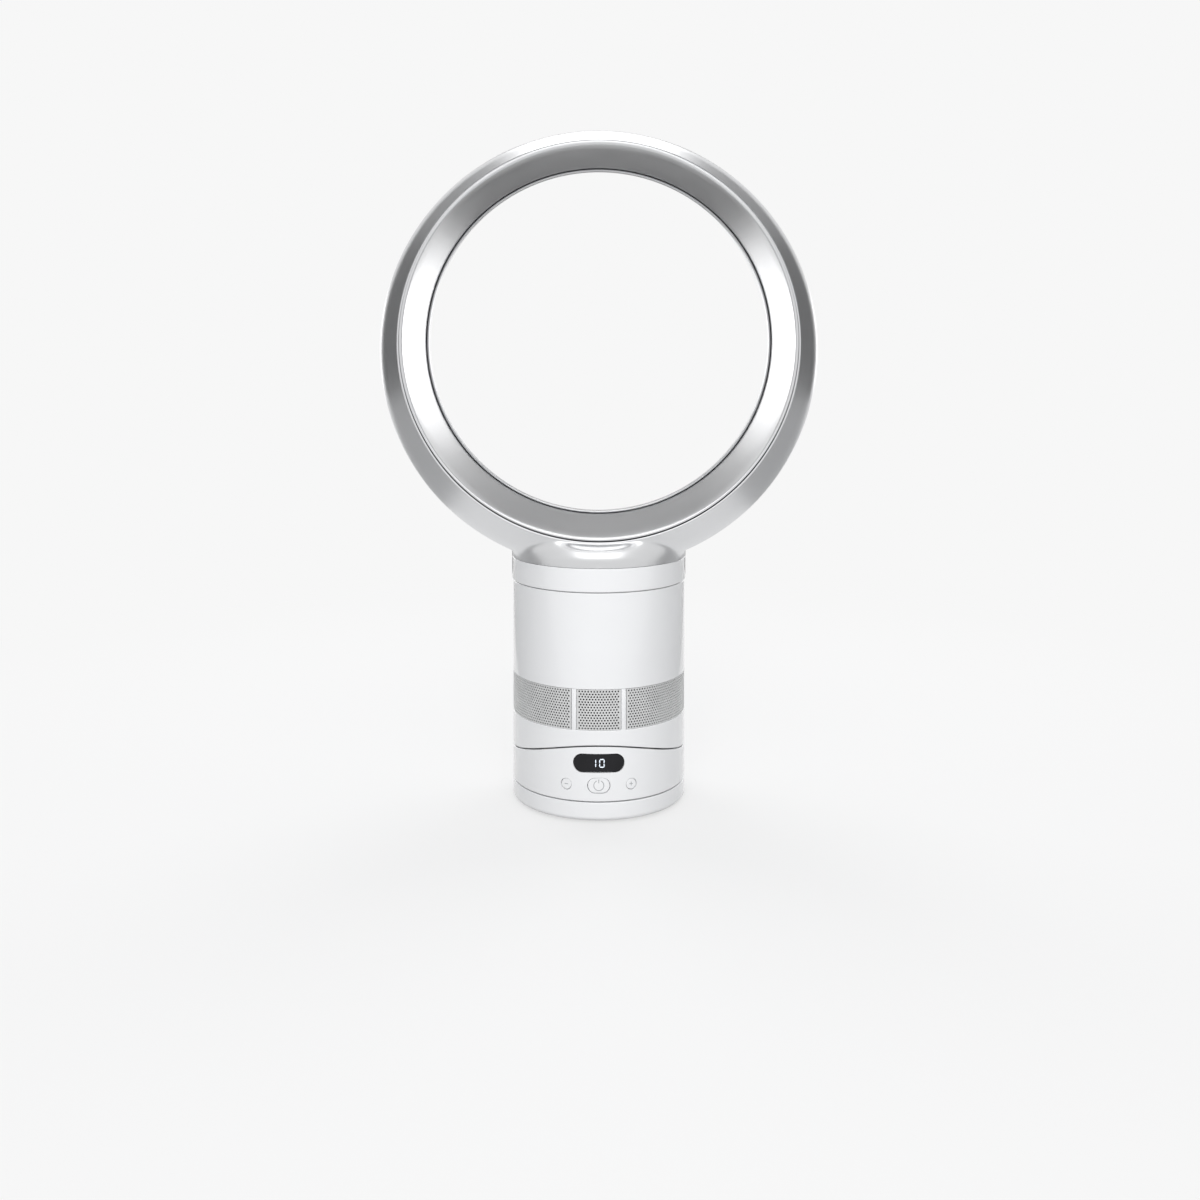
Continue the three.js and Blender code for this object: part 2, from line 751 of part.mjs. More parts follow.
function arcStrip(inner, outer, from, to, steps) {
  const along = (radius, a, b) => Array.from({ length: steps + 1 }, (_, i) => {
    const turn = (a + (b - a) * i / steps - 90) * degree;
    return [radius * Math.cos(turn), radius * Math.sin(turn)];
  });
  return outline([...along(outer, from, to), ...along(inner, to, from)]);
}

// A curved grille between two ribs, with slots along it
function inletMesh(from, to) {
  const outer = bodyRadius - meshRecess;
  const inset = (ribWidth / 2 + fitGap) / outer / degree;
  const border = 2 * inset;
  const steps = Math.max(2, Math.round((to - from) / 15));
  const bottom = inletBottom + fitGap / 2;
  const top = inletTop - fitGap / 2;
  const strip = arcStrip(outer - meshThickness, outer, from + inset, to - inset, steps);
  const pitch = (top - bottom) / meshSlots;
  const slots = Array.from({ length: meshSlots }, (_, i) => {
    const middle = bottom + pitch * (i + 0.5);
    const gap = arcStrip(outer - 4, outer + 4, from + border, to - border, steps);
    return raised(gap, middle - meshSlotHeight / 2, middle + meshSlotHeight / 2);
  });
  return raised(strip, bottom, top).subtract(joinAll(slots));
}

function inletPanels() {
  return ribAngles.map((angle, i) => {
    const next = ribAngles[(i + 1) % ribAngles.length];
    return [angle, next > angle ? next : next + 360];
  });
}

function foamDisc() {
  const bottom = ledgeLevel + ledgeThickness;
  return disc(ribInnerRadius - fitGap, bottom, bottom + foamDiscThickness);
}

function upperCasing() {
  return turned([
    [shellInnerRadius, inletTop],
    [bodyRadius, inletTop],
    [bodyRadius, upperCasingTop],
    [shellInnerRadius, upperCasingTop],
    [shellInnerRadius, casingFlangeTop],
    [casingFlangeRadius, casingFlangeTop],
    [casingFlangeRadius, casingFlangeBottom],
    [shellInnerRadius, casingFlangeBottom],
  ], bodyFacets);
}

function inletBell() {
  const flange = inletTop + bellFlangeThickness;
  return turned([
    [bellThroatRadius + 3 * bellWall, inletTop],
    [insideRadius, inletTop],
    [insideRadius, flange],
    [bellThroatRadius + 2 * bellWall, flange],
    [bellThroatRadius + bellWall, flange + bellWall],
    [bellThroatRadius + bellWall, bellTop],
    [bellThroatRadius, bellTop],
    [bellThroatRadius, flange + bellWall],
  ]);
}

function impellerHousing() {
  return turned([
    [housingBore, housingBottom],
    [insideRadius, housingBottom],
    [insideRadius, housingBottom + housingWall],
    [housingRadius, housingBottom + housingWall],
    [housingRadius, housingTop],
    [housingBore, housingTop],
  ]);
}

function housingSeal() {
  return ring(housingBore + fitGap, casingFlangeRadius + 5, housingTop, casingFlangeBottom);
}

function foamRing() {
  return ring(housingRadius + 2 * fitGap, insideRadius - fitGap, housingBottom + housingWall, foamRingTop);
}

function motorBucketLower() {
  const boss = bearingRadius + fitGap;
  const chamfer = bucketRadius / 7;
  return turned([
    [shaftRadius + runningGap, bucketBottom],
    [bucketRadius - chamfer, bucketBottom],
    [bucketRadius, bucketBottom + chamfer],
    [bucketRadius, bucketSplit - fitGap],
    [bucketRadius - bucketWall, bucketSplit - fitGap],
    [bucketRadius - bucketWall, motorFloor + chamfer],
    [bucketRadius - bucketWall - chamfer, motorFloor],
    [boss + bearingBossWall, motorFloor],
    [boss + bearingBossWall, motorFloor + bearingWidth],
    [boss, motorFloor + bearingWidth],
    [boss, motorFloor],
    [shaftRadius + runningGap, motorFloor],
  ]);
}

// The domed top of the motor bucket, with the vanes that hold it in the housing
function motorBucketUpper() {
  const boss = bearingRadius + fitGap;
  const top = bucketSplit + bucketDomeRise;
  const inner = bucketRadius - bucketWall;
  const eaves = bucketSplit + bucketDomeRise / 3;
  const dome = turned([
    [0, top],
    [bucketRadius / 2, top - 0.8],
    [bucketRadius * 0.8, (top + eaves) / 2],
    [bucketRadius, eaves],
    [bucketRadius, bucketSplit],
    [inner, bucketSplit],
    [inner, eaves - bucketWall / 2],
    [inner * 0.78, (top + eaves) / 2 - bucketWall],
    [boss + bearingBossWall, top - 0.8 - bucketWall],
    [boss + bearingBossWall, upperBearingBottom],
    [boss, upperBearingBottom],
    [boss, top - 0.8 - bucketWall],
    [0, top - 0.8 - bucketWall],
  ]);
  const vaneShape = outline([
    [-vaneThickness / 2, bucketSplit],
    [vaneThickness / 2, bucketSplit],
    [vaneThickness / 2, bucketSplit + vaneHeight],
    [-vaneThickness / 2, bucketSplit + vaneHeight],
  ]);
  const hollow = disc(inner + bucketWall / 2, 0, top - bucketWall);
  const reach = housingBore * Math.cos(Math.PI / innerFacets) - fitGap;
  const vanes = Array.from({ length: vaneCount }, (_, i) => (
    radialPrism(vaneShape, inner, reach, 360 * i / vaneCount)));
  return dome.add(joinAll(vanes).subtract(hollow));
}

function motorStator() {
  const core = ring(rotorRadius + runningGap, statorRadius, statorBottom, statorBottom + statorLength);
  const middle = (rotorRadius + runningGap + statorRadius) / 2;
  const slots = Array.from({ length: statorSlots }, (_, i) => {
    const turn = 2 * Math.PI * i / statorSlots;
    return peg(statorSlotRadius, 0, tiltAxisHeight, middle * Math.cos(turn), middle * Math.sin(turn), 6);
  });
  return core.subtract(joinAll(slots));
}

function bearing(bottom) {
  return ring(shaftRadius + fitGap, bearingRadius, bottom, bottom + bearingWidth, 16);
}

function motorMountRing() {
  const top = bucketSplit - fitGap;
  return ring(statorRadius + fitGap, bucketRadius - bucketWall - fitGap, top - mountRingHeight, top);
}

// ---- Rotor, which turns in the motor ----

// Hub surface of the impeller, as radius against height
function hubRadiusAt(share) {
  return hubNoseRadius + (hubTopRadius - hubNoseRadius) * share ** 0.8;
}

function impeller() {
  const bore = shaftRadius + fitGap;
  const shares = [0, 0.25, 0.5, 0.75, 0.95];
  const surface = shares.map((share) => [hubRadiusAt(share), impellerBottom + share * impellerHeight]);
  const hub = turned([[bore, impellerBottom], ...surface, [hubTopRadius, impellerTop], [bore, impellerTop]]);
  const inlet = bellThroatRadius - runningGap - shroudWall - fitGap;
  const outlet = housingBore - 2 * runningGap - shroudWall - fitGap;
  const zone = turned([
    [hubNoseRadius - 2, impellerBottom + fitGap],
    [inlet, impellerBottom + fitGap],
    [outlet, impellerBottom + shroudHeight],
    [outlet, impellerTop - 2],
    [hubTopRadius - 2, impellerTop - 2],
  ]);
  const half = impellerBladeThickness / 2;
  const steps = 4;
  const side = (sign) => Array.from({ length: steps + 1 }, (_, i) => {
    const radius = hubNoseRadius - 1 + (housingBore - hubNoseRadius) * i / steps;
    const turn = -impellerBladeSweep * degree * i / steps + sign * half / radius;
    return [radius * Math.cos(turn), radius * Math.sin(turn)];
  });
  const bladeShape = outline([...side(-1), ...side(1).reverse()]);
  const blades = Array.from({ length: impellerBladeCount }, (_, i) => {
    const settings = { depth: impellerHeight, bevelEnabled: false };
    const geometry = new THREE.ExtrudeGeometry(bladeShape, settings).translate(0, 0, impellerBottom);
    return solid(geometry.rotateZ(2 * Math.PI * i / impellerBladeCount));
  });
  const shaftHole = peg(bore, 0, tiltAxisHeight, 0, 0, innerFacets);
  return hub.add(joinAll(blades).intersect(zone)).subtract(shaftHole);
}

function impellerShroud() {
  const inlet = bellThroatRadius - runningGap;
  const outlet = housingBore - 2 * runningGap;
  return turned([
    [inlet - shroudWall, impellerBottom],
    [inlet, impellerBottom],
    [outlet, impellerBottom + shroudHeight],
    [outlet - shroudWall, impellerBottom + shroudHeight],
  ]);
}

function motorRotor() {
  const bottom = impellerBottom + 2;
  const magnet = statorBottom + (statorLength - rotorLength) / 2;
  return turned([
    [0, bottom],
    [shaftRadius, bottom],
    [shaftRadius, magnet],
    [rotorRadius, magnet],
    [rotorRadius, magnet + rotorLength],
    [shaftRadius, magnet + rotorLength],
    [shaftRadius, bottom + shaftLength],
    [0, bottom + shaftLength],
  ], 16);
}

// ---- Nozzle: the collar and the loop, which lift off with a twist ----

function nozzleCollar() {
  return turned([
    [spigotInnerRadius, spigotBottom],
    [spigotRadius, spigotBottom],
    [spigotRadius, collarBottom],
    [collarRadius, collarBottom],
    [collarRadius, collarTop],
    [sleeveRadius, collarTop],
    [sleeveRadius, sleeveTop],
    [sleeveRadius - bodyWall, sleeveTop],
    [sleeveRadius - bodyWall, collarBottom + bodyWall],
    [spigotInnerRadius, collarBottom + bodyWall],
  ], bodyFacets);
}

function nozzleSeal() {
  return ring(spigotInnerRadius + fitGap, spigotRadius - fitGap, casingFlangeTop, spigotBottom);
}

// Depth at which the shoulder of the front casing meets its straight outer wall
function shoulderDepth() {
  const coneTop = loopOuterRadius - shoulderRadius * (1 - Math.cos(coneAngle * degree));
  const coneLength = (coneTop - frontCasingRadius - noseRise) / Math.tan(coneAngle * degree);
  return loopFront + noseRise / 2 + coneLength + shoulderRadius * Math.sin(coneAngle * degree);
}

function frontProfile(inset, steps) {
  const depth = shoulderDepth();
  const centre = loopOuterRadius - shoulderRadius;
  return arc(shoulderRadius - inset, centre, depth, -coneAngle, 0, steps);
}

function rearProfile(inset, rollInset, steps) {
  const round = arc(rearRoundRadius - inset, loopOuterRadius - rearRoundRadius,
    loopRear - rearRoundRadius, 0, 90, steps);
  const roll = arc(lipRollRadius - rollInset, throatRadius + lipRollRadius, lipRollDepth, 90, 180, steps);
  return [...round, ...roll];
}

function frontRing() {
  const flange = 4 * casingWall;
  return loopTurned([
    [frontCasingRadius, loopFront],
    [frontCasingRadius + noseRise, loopFront + noseRise / 2],
    ...frontProfile(0, 3),
    [loopOuterRadius, loopSeamDepth],
    [loopOuterRadius - casingWall, loopSeamDepth],
    ...frontProfile(casingWall, 1).reverse(),
    [frontCasingRadius + casingWall / 2, loopFront + flange / 2],
    [frontCasingRadius, loopFront + flange / 2],
  ]);
}

function rearRing() {
  return loopTurned([
    [loopOuterRadius, loopSeamDepth + fitGap],
    ...rearProfile(0, 0, 2),
    [throatRadius, lipTipDepth],
    [throatRadius + lipWall, lipTipDepth],
    ...rearProfile(casingWall, lipWall, 2).reverse(),
    [loopOuterRadius - casingWall, loopSeamDepth + fitGap],
  ]);
}

function boreSurface(grow) {
  return [
    [mouthRadius + grow, loopFront + noseRise],
    [boreRadius + grow, boreNeckDepth],
    ...arc(curlRadius - grow, slotSurfaceRadius + curlRadius, lipTipDepth, 180, curlEnd, 2),
  ];
}

function innerCasing() {
  return loopTurned([
    [mouthRadius + innerCasingWall / 2, loopFront + noseRise / 4],
    ...boreSurface(0),
    ...boreSurface(innerCasingWall).reverse(),
    [mouthRadius + innerCasingWall, loopFront + noseRise / 4],
  ]);
}

// The space that the bore and its casing take, in front of and behind the loop too
function boreSpace() {
  const clear = innerCasingWall + fitGap;
  const far = 2 * collarRadius;
  return loopTurned([
    [0, -far],
    [mouthRadius, -far],
    [mouthRadius, loopFront - fitGap],
    [mouthRadius + clear, loopFront - fitGap],
    [mouthRadius + clear, loopFront + noseRise],
    [boreRadius + clear, boreNeckDepth],
    [slotSurfaceRadius + clear, lipTipDepth],
    [throatRadius + lipRollRadius, lipRollDepth],
    [throatRadius + lipRollRadius, far],
    [0, far],
  ]);
}

// The air channel inside the loop
function loopChannel() {
  return loopTurned([
    [mouthRadius, loopFront + 2 * casingWall],
    [frontCasingRadius + casingWall / 2, loopFront + 2 * casingWall],
    ...frontProfile(casingWall, 1),
    ...rearProfile(casingWall, lipWall, 2),
    [slotSurfaceRadius, lipTipDepth],
    [boreRadius, boreNeckDepth],
  ]);
}

// A round neck whose domed top meets the front edge of the loop
function neckDome(inset, bottom) {
  const radius = collarRadius - inset;
  const reach = Math.sqrt(Math.max(0.05, 1 - (loopFront / collarRadius) ** 2));
  const rise = (boreAxisHeight - mouthRadius - neckShoulder) / reach - inset;
  const steps = 4;
  const dome = Array.from({ length: steps + 1 }, (_, i) => {
    const turn = 90 * degree * i / steps;
    return [i === steps ? 0 : radius * Math.cos(turn), neckShoulder + rise * Math.sin(turn)];
  });
  return turned([[0, bottom], [radius, bottom], ...dome], bodyFacets);
}

function neckWall() {
  const shell = neckDome(0, neckBottom).subtract(neckDome(bodyWall, neckBottom - 1));
  return shell.subtract(loopChannel()).subtract(boreSpace());
}

function halfSpace(from, to) {
  return block(4 * collarRadius, to - from, neckBottom - 1, boreAxisHeight, 0, (from + to) / 2);
}

function casing(ringSolid, from, to) {
  const duct = neckDome(bodyWall, collarBottom);
  return ringSolid.subtract(duct).add(neckWall().intersect(halfSpace(from, to)));
}

// ---- Assembly ----

function place(node, x = 0, y = 0, z = 0, turn = 0) {
  node.position.set(x, y, z);
  node.rotation.z = turn;
  return node;
}

function buildFoot() {
  const foot = new THREE.Group();
  foot.add(piece('foot_shell', footShell(), whiteGloss));
  foot.add(piece('bottom_cover', bottomCover(), greyPlastic));
  footScrewPlaces().forEach(([x, y], i) => {
    foot.add(place(piece(`foot_screw_${i + 1}`, footScrew(), steel), x, y, padHeight));
  });
  [0, 1, 2, 3].forEach((i) => {
    const turn = (45 + 90 * i) * degree;
    const pad = piece(`rubber_foot_${i + 1}`, rubberPad(), rubber);
    foot.add(place(pad, padCircle * Math.cos(turn), padCircle * Math.sin(turn)));
  });
  foot.add(piece('ballast_plate', ballastPlate(), steel));
  foot.add(piece('ring_gear', ringGear(), nylon));
  foot.add(piece('power_inlet', powerInlet(), darkPlastic));
  foot.add(piece('thrust_washer', thrustWasher(), nylon));
  return foot;
}

function buildControlBase() {
  const base = new THREE.Group();
  base.add(piece('control_base_shell', controlBaseShell(), whiteGloss));
  base.add(piece('control_base_floor', controlBaseFloor(), greyPlastic));
  base.add(piece('swivel_hub', swivelHub(), nylon));
  base.add(piece('swivel_retainer', swivelRetainer(), steel));
  base.add(piece('display_lens', displayLens(), blackGloss));
  base.add(piece('display_board', displayBoard(), circuitGreen));
  base.add(piece('switch_board', switchBoard(), circuitGreen));
  base.add(piece('control_board', controlBoard(), circuitGreen));
  base.add(piece('swing_motor', swingMotor(), steel));
  base.add(place(piece('swing_pinion', swingPinion(), brass), 0, swingMotorCentre, 0));
  base.add(piece('tilt_cradle', tiltCradle(), greyPlastic));
  base.add(piece('glide_strip_left', glideStrip(-1), nylon));
  base.add(piece('glide_strip_right', glideStrip(1), nylon));
  for (const [name, angle] of Object.entries(buttonAngles())) {
    base.add(place(piece(name, pushButton(name), whiteGloss), 0, 0, 0, angle * degree));
  }
  return base;
}

function buildRotor() {
  const rotor = new THREE.Group();
  rotor.add(piece('impeller', impeller(), darkPlastic));
  rotor.add(piece('impeller_shroud', impellerShroud(), darkPlastic));
  rotor.add(piece('motor_rotor', motorRotor(), steel));
  return rotor;
}

function buildNozzle() {
  const nozzle = new THREE.Group();
  const far = 2 * collarRadius;
  nozzle.add(piece('nozzle_seal', nozzleSeal(), rubber));
  nozzle.add(piece('nozzle_collar', nozzleCollar(), whiteGloss));
  nozzle.add(piece('nozzle_front_casing', casing(frontRing(), -far, loopSeamDepth), silverPaint));
  nozzle.add(piece('nozzle_rear_casing', casing(rearRing(), loopSeamDepth + fitGap, far), silverPaint));
  nozzle.add(piece('nozzle_inner_casing', innerCasing(), silverPaint));
  return nozzle;
}

function buildBody() {
  const body = new THREE.Group();
  body.add(piece('body_lower_ring', bodyLowerRing(), whiteGloss));
  body.add(piece('tilt_shoe', tiltShoe(), greyPlastic));
  body.add(piece('tilt_retainer', tiltRetainer(), steel));
  inletPanels().forEach(([from, to], i) => {
    body.add(piece(`inlet_mesh_${i + 1}`, inletMesh(from, to), silverMesh));
  });
  body.add(piece('foam_disc', foamDisc(), foam));
  body.add(piece('upper_casing', upperCasing(), whiteGloss));
  body.add(piece('inlet_bell', inletBell(), greyPlastic));
  body.add(piece('impeller_housing', impellerHousing(), greyPlastic));
  body.add(piece('housing_seal', housingSeal(), rubber));
  body.add(piece('foam_ring', foamRing(), foam));
  body.add(piece('motor_bucket_lower', motorBucketLower(), darkPlastic));
  body.add(piece('motor_bucket_upper', motorBucketUpper(), darkPlastic));
  body.add(piece('motor_stator', motorStator(), steel));
  body.add(piece('bearing_lower', bearing(motorFloor), steel));
  body.add(piece('bearing_upper', bearing(upperBearingBottom), steel));
  body.add(piece('motor_mount_ring', motorMountRing(), rubber));
  body.add(buildRotor());
  body.add(buildNozzle());
  return body;
}

const fan = buildFoot();
const controlBase = buildControlBase();
controlBase.add(buildBody());
fan.add(controlBase);

export default fan;
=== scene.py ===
import math
import bmesh
import bpy
import numpy as np
from mathutils import Matrix, Vector


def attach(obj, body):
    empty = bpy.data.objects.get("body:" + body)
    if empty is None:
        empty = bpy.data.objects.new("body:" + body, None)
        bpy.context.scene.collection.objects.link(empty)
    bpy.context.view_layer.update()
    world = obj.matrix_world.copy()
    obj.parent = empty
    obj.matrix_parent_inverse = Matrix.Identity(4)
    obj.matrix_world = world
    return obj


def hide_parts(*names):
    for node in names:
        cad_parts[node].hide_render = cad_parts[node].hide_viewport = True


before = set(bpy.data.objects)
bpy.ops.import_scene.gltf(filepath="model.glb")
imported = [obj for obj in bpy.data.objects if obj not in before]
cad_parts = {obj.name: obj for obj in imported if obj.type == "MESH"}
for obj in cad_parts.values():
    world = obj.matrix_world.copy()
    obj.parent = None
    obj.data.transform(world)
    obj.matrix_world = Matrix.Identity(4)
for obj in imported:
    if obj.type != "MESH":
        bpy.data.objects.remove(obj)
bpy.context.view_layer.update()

# ---- Foot ----
# The foot is a shallow ring moulded in glossy white plastic, with a deck that carries the swing
# gear. A grey cover closes it underneath, held by four countersunk cross-head screws.

mm = 0.001


def plugged(tree, node, inputs):
    """A node's inputs, each given as a value or as what comes out of another node."""
    for socket, source in inputs.items():
        if isinstance(source, bpy.types.NodeSocket):
            tree.links.new(source, node.inputs[socket])
        else:
            node.inputs[socket].default_value = source
    return node


def added(tree, kind, inputs=None, **settings):
    """A new node, to the right of those before it, with its settings and its inputs."""
    node = tree.nodes.new(kind)
    node.location.x = 180 * len(tree.nodes)
    for name, setting in settings.items():
        setattr(node, name, setting)
    return plugged(tree, node, inputs or {})


def noise(tree, place, scale, detail=2.0):
    return added(tree, "ShaderNodeTexNoise", {
        "Vector": place.outputs["Vector"], "Scale": scale, "Detail": detail}).outputs["Fac"]


def spread(tree, cloud, low, high):
    """The middle range of a noise, stretched to run from low to high."""
    return added(tree, "ShaderNodeMapRange", {
        "Value": cloud, "From Min": 0.3, "From Max": 0.7, "To Min": low,
        "To Max": high}).outputs["Result"]


def moulded(name, colour, roughness, metallic=0.0, coat=0.0, mottle=0.03, mottle_scale=35.0,
            uneven=0.05, grain=0.1, grain_scale=1500.0, depth=0.00003, stretch=(1, 1, 1),
            shine=0.5, glow=0.0):
    """A finish whose colour, gloss and skin vary a little over the surface, as a real one does.
    A lit plastic also glows, a little more in one place than in another."""
    finish = bpy.data.materials.new(name)
    finish.use_nodes = True
    tree = finish.node_tree
    shader = tree.nodes["Principled BSDF"]
    where = added(tree, "ShaderNodeTexCoord")
    place = added(tree, "ShaderNodeMapping", {"Vector": where.outputs["Object"], "Scale": stretch})
    tint = added(tree, "ShaderNodeMix", {
        "A": (*[c * (1 - mottle) for c in colour], 1),
        "B": (*[min(1, c * (1 + mottle)) for c in colour], 1),
        "Factor": spread(tree, noise(tree, place, mottle_scale, 4.0), 0, 1)}, data_type="RGBA")
    gloss = spread(tree, noise(tree, place, mottle_scale * 3, 3.0),
                   max(0.02, roughness - uneven), roughness + uneven)
    bump = added(tree, "ShaderNodeBump", {
        "Strength": grain, "Distance": depth, "Height": noise(tree, place, grain_scale)})
    plugged(tree, shader, {
        "Base Color": tint.outputs["Result"], "Roughness": gloss, "Normal": bump.outputs["Normal"],
        "Metallic": metallic, "Coat Weight": coat, "Coat Roughness": 0.08,
        "Specular IOR Level": shine})
    if glow:
        plugged(tree, shader, {
            "Emission Color": (*colour, 1),
            "Emission Strength": spread(tree, noise(tree, place, 200), glow * 0.9, glow)})
    return finish


def dress(finish, *nodes):
    """A CAD node keeps its mesh and gets a real finish."""
    for node in nodes:
        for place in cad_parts[node].material_slots:
            place.material = finish


def softened(corners, steps=4, rest=0.06):
    """An outline of (radius, height, round) corners, each rounded by its own radius. A point
    just before and after each round keeps the flats beside it flat in the light."""
    outline = []
    count = len(corners)
    for i, (x, y, size) in enumerate(corners):
        here = np.array([x, y], float)
        if size == 0:
            outline.append(here)
            continue
        before = np.array(corners[i - 1][:2], float) - here
        after = np.array(corners[(i + 1) % count][:2], float) - here
        before /= np.linalg.norm(before)
        after /= np.linalg.norm(after)
        half = math.acos(np.clip(before @ after, -1, 1)) / 2
        reach = size / math.tan(half)
        start, end = here + before * reach, here + after * reach
        middle = here + (before + after) / np.linalg.norm(before + after) * size / math.sin(half)
        a, b = start - middle, end - middle
        turn = math.atan2(a[0] * b[1] - a[1] * b[0], a @ b)
        outline.append(here + before * (reach + rest))
        for k in range(steps + 1):
            s = turn * k / steps
            c, d = math.cos(s), math.sin(s)
            outline.append(middle + [a[0] * c - a[1] * d, a[0] * d + a[1] * c])
        outline.append(here + after * (reach + rest))
    return [tuple(p) for p in outline]


def made_plain(piece):
    """The modifiers' result becomes the piece's own mesh."""
    seen = piece.evaluated_get(bpy.context.evaluated_depsgraph_get())
    plain = bpy.data.meshes.new_from_object(seen)
    piece.modifiers.clear()
    piece.data = plain
    return piece


def in_scene(name, mesh):
    piece = bpy.data.objects.new(name, mesh)
    bpy.context.scene.collection.objects.link(piece)
    return piece


def built(name, shape):
    """A shape that is ready becomes a piece of its own."""
    mesh = bpy.data.meshes.new(name)
    shape.to_mesh(mesh)
    shape.free()
    return in_scene(name, mesh)


def joined(piece, *others):
    """Other closed solids become part of the same piece."""
    shape = bmesh.new()
    for part in (piece, *others):
        shape.from_mesh(part.data)
    shape.to_mesh(piece.data)
    shape.free()
    for part in others:
        bpy.data.objects.remove(part)
    return piece


def cut(piece, *cutters):
    """The piece without what the cutters cover."""
    for cutter in cutters:
        hole = piece.modifiers.new("cut", "BOOLEAN")
        hole.operation = "DIFFERENCE"
        hole.solver = "EXACT"
        hole.object = cutter
    made_plain(piece)
    for cutter in cutters:
        bpy.data.objects.remove(cutter)
    return piece


def rod(radius, start, end, facets=48):
    """A plain round bar from start to end, in millimetres: a pin, or a cutter for a hole."""
    start, end = np.array(start, float), np.array(end, float)
    along = end - start
    length = np.linalg.norm(along)
    shape = bmesh.new()
    bmesh.ops.create_cone(shape, cap_ends=True, segments=facets, radius1=radius * mm,
                          radius2=radius * mm, depth=length * mm)
    turn = Vector(along).to_track_quat("Z", "Y").to_matrix().to_4x4()
    shape.transform(Matrix.Translation((start + end) / 2 * mm) @ turn)
    return built("rod", shape)


def brick(size, centre, bevel=0):
    """A block, whose edges are taken off by a share of its size."""
    shape = bmesh.new()
    bmesh.ops.create_cube(shape, size=1)
    if bevel:
        bmesh.ops.bevel(shape, geom=shape.edges, offset=bevel, segments=2, affect="EDGES")
    shape.transform(Matrix.Translation(np.array(centre) * mm) @ Matrix.Diagonal(
        (*(np.array(size) * mm), 1)))
    return built("brick", shape)


def outward(mesh):
    """Faces that all point inwards are turned round."""
    shape = bmesh.new()
    shape.from_mesh(mesh)
    if shape.calc_volume(signed=True) < 0:
        bmesh.ops.reverse_faces(shape, faces=shape.faces)
    shape.to_mesh(mesh)
    shape.free()


def fitted(piece, finish, body, slot, *nodes, crease=35):
    """Smooth faces with crisp edges, a finish, and its place on the fan."""
    outward(piece.data)
    piece.data.materials.clear()
    piece.data.materials.append(finish)
    piece.data.shade_smooth()
    piece.data.set_sharp_from_angle(angle=math.radians(crease))
    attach(piece, body)
    if nodes:
        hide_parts(*nodes)
    return piece


def new_tree(name, **inputs):
    """A Geometry Nodes tree that takes a shape and named sizes, and gives a shape."""
    tree = bpy.data.node_groups.new(name, "GeometryNodeTree")
    tree.interface.new_socket("Shape", in_out="INPUT", socket_type="NodeSocketGeometry")
    kinds = {"int": "NodeSocketInt", "float": "NodeSocketFloat", "finish": "NodeSocketMaterial"}
    for label, kind in inputs.items():
        tree.interface.new_socket(label, in_out="INPUT", socket_type=kinds[kind])
    tree.interface.new_socket("Shape", in_out="OUTPUT", socket_type="NodeSocketGeometry")
    return tree, added(tree, "NodeGroupInput").outputs


def end_tree(tree, shape, given):
    real = added(tree, "GeometryNodeRealizeInstances", {"Geometry": shape})
    coat = added(tree, "GeometryNodeSetMaterial", {
        "Geometry": real.outputs["Geometry"], "Material": given["finish"]})
    added(tree, "NodeGroupOutput", {"Shape": coat.outputs["Geometry"]})


def grown(name, mesh, tree, **values):
    """A piece made by a tree from its starting shape, as a plain mesh."""
    piece = in_scene(name, mesh)
    growth = piece.modifiers.new("growth", "NODES")
    growth.node_group = tree
    for socket in tree.interface.items_tree:
        if socket.name in values:
            growth[socket.identifier] = values[socket.name]
    return made_plain(piece)


turning, given = new_tree("turning", rail="float", facets="int", finish="finish")
section = added(turning, "GeometryNodeMeshToCurve", {"Mesh": given["Shape"]})
circle = added(turning, "GeometryNodeCurvePrimitiveCircle", {
    "Resolution": given["facets"], "Radius": given["rail"]})
sweep = added(turning, "GeometryNodeCurveToMesh", {
    "Curve": circle.outputs["Curve"], "Profile Curve": section.outputs["Curve"]})
end_tree(turning, sweep.outputs["Mesh"], given)


at_axis = 0.02


def turned(name, corners, finish, facets=192):
    """A closed outline of (radius, height, round) corners turned about the upright axis. The
    outline of a solid piece starts and ends beside the axis and is drawn together there."""
    outline = softened(corners)
    rail = sum(p[0] for p in outline) / len(outline)
    mesh = bpy.data.meshes.new(name)
    points = [((r - rail) * mm, -z * mm, 0) for r, z in outline]
    ring = [(i, (i + 1) % len(points)) for i in range(len(points))]
    mesh.from_pydata(points, ring, [])
    piece = grown(name, mesh, turning, rail=rail * mm, facets=facets, finish=finish)
    shape = bmesh.new()
    shape.from_mesh(piece.data)
    inmost = [v for v in shape.verts if v.co.xy.length < 2 * at_axis * mm]
    bmesh.ops.remove_doubles(shape, verts=inmost, dist=2.2 * at_axis * mm)
    loose = [e for e in shape.edges if not e.link_faces]
    bmesh.ops.delete(shape, geom=loose, context="EDGES")
    shape.to_mesh(piece.data)
    shape.free()
    return piece


white_gloss = moulded("white_gloss", (0.80, 0.805, 0.815), 0.2, coat=0.8, mottle=0.012,
                      mottle_scale=18, uneven=0.04, grain=0.06, grain_scale=700, depth=0.00004)
grey_plastic = moulded("grey_plastic", (0.26, 0.275, 0.29), 0.5, grain=0.25, grain_scale=2600)
steel = moulded("zinc_steel", (0.56, 0.57, 0.58), 0.34, 1.0, mottle=0.08, mottle_scale=120,
                uneven=0.1, grain=0.12, grain_scale=1800)
rubber = moulded("pad_rubber", (0.028, 0.028, 0.03), 0.82, mottle=0.2, grain=0.35,
                 grain_scale=2200)

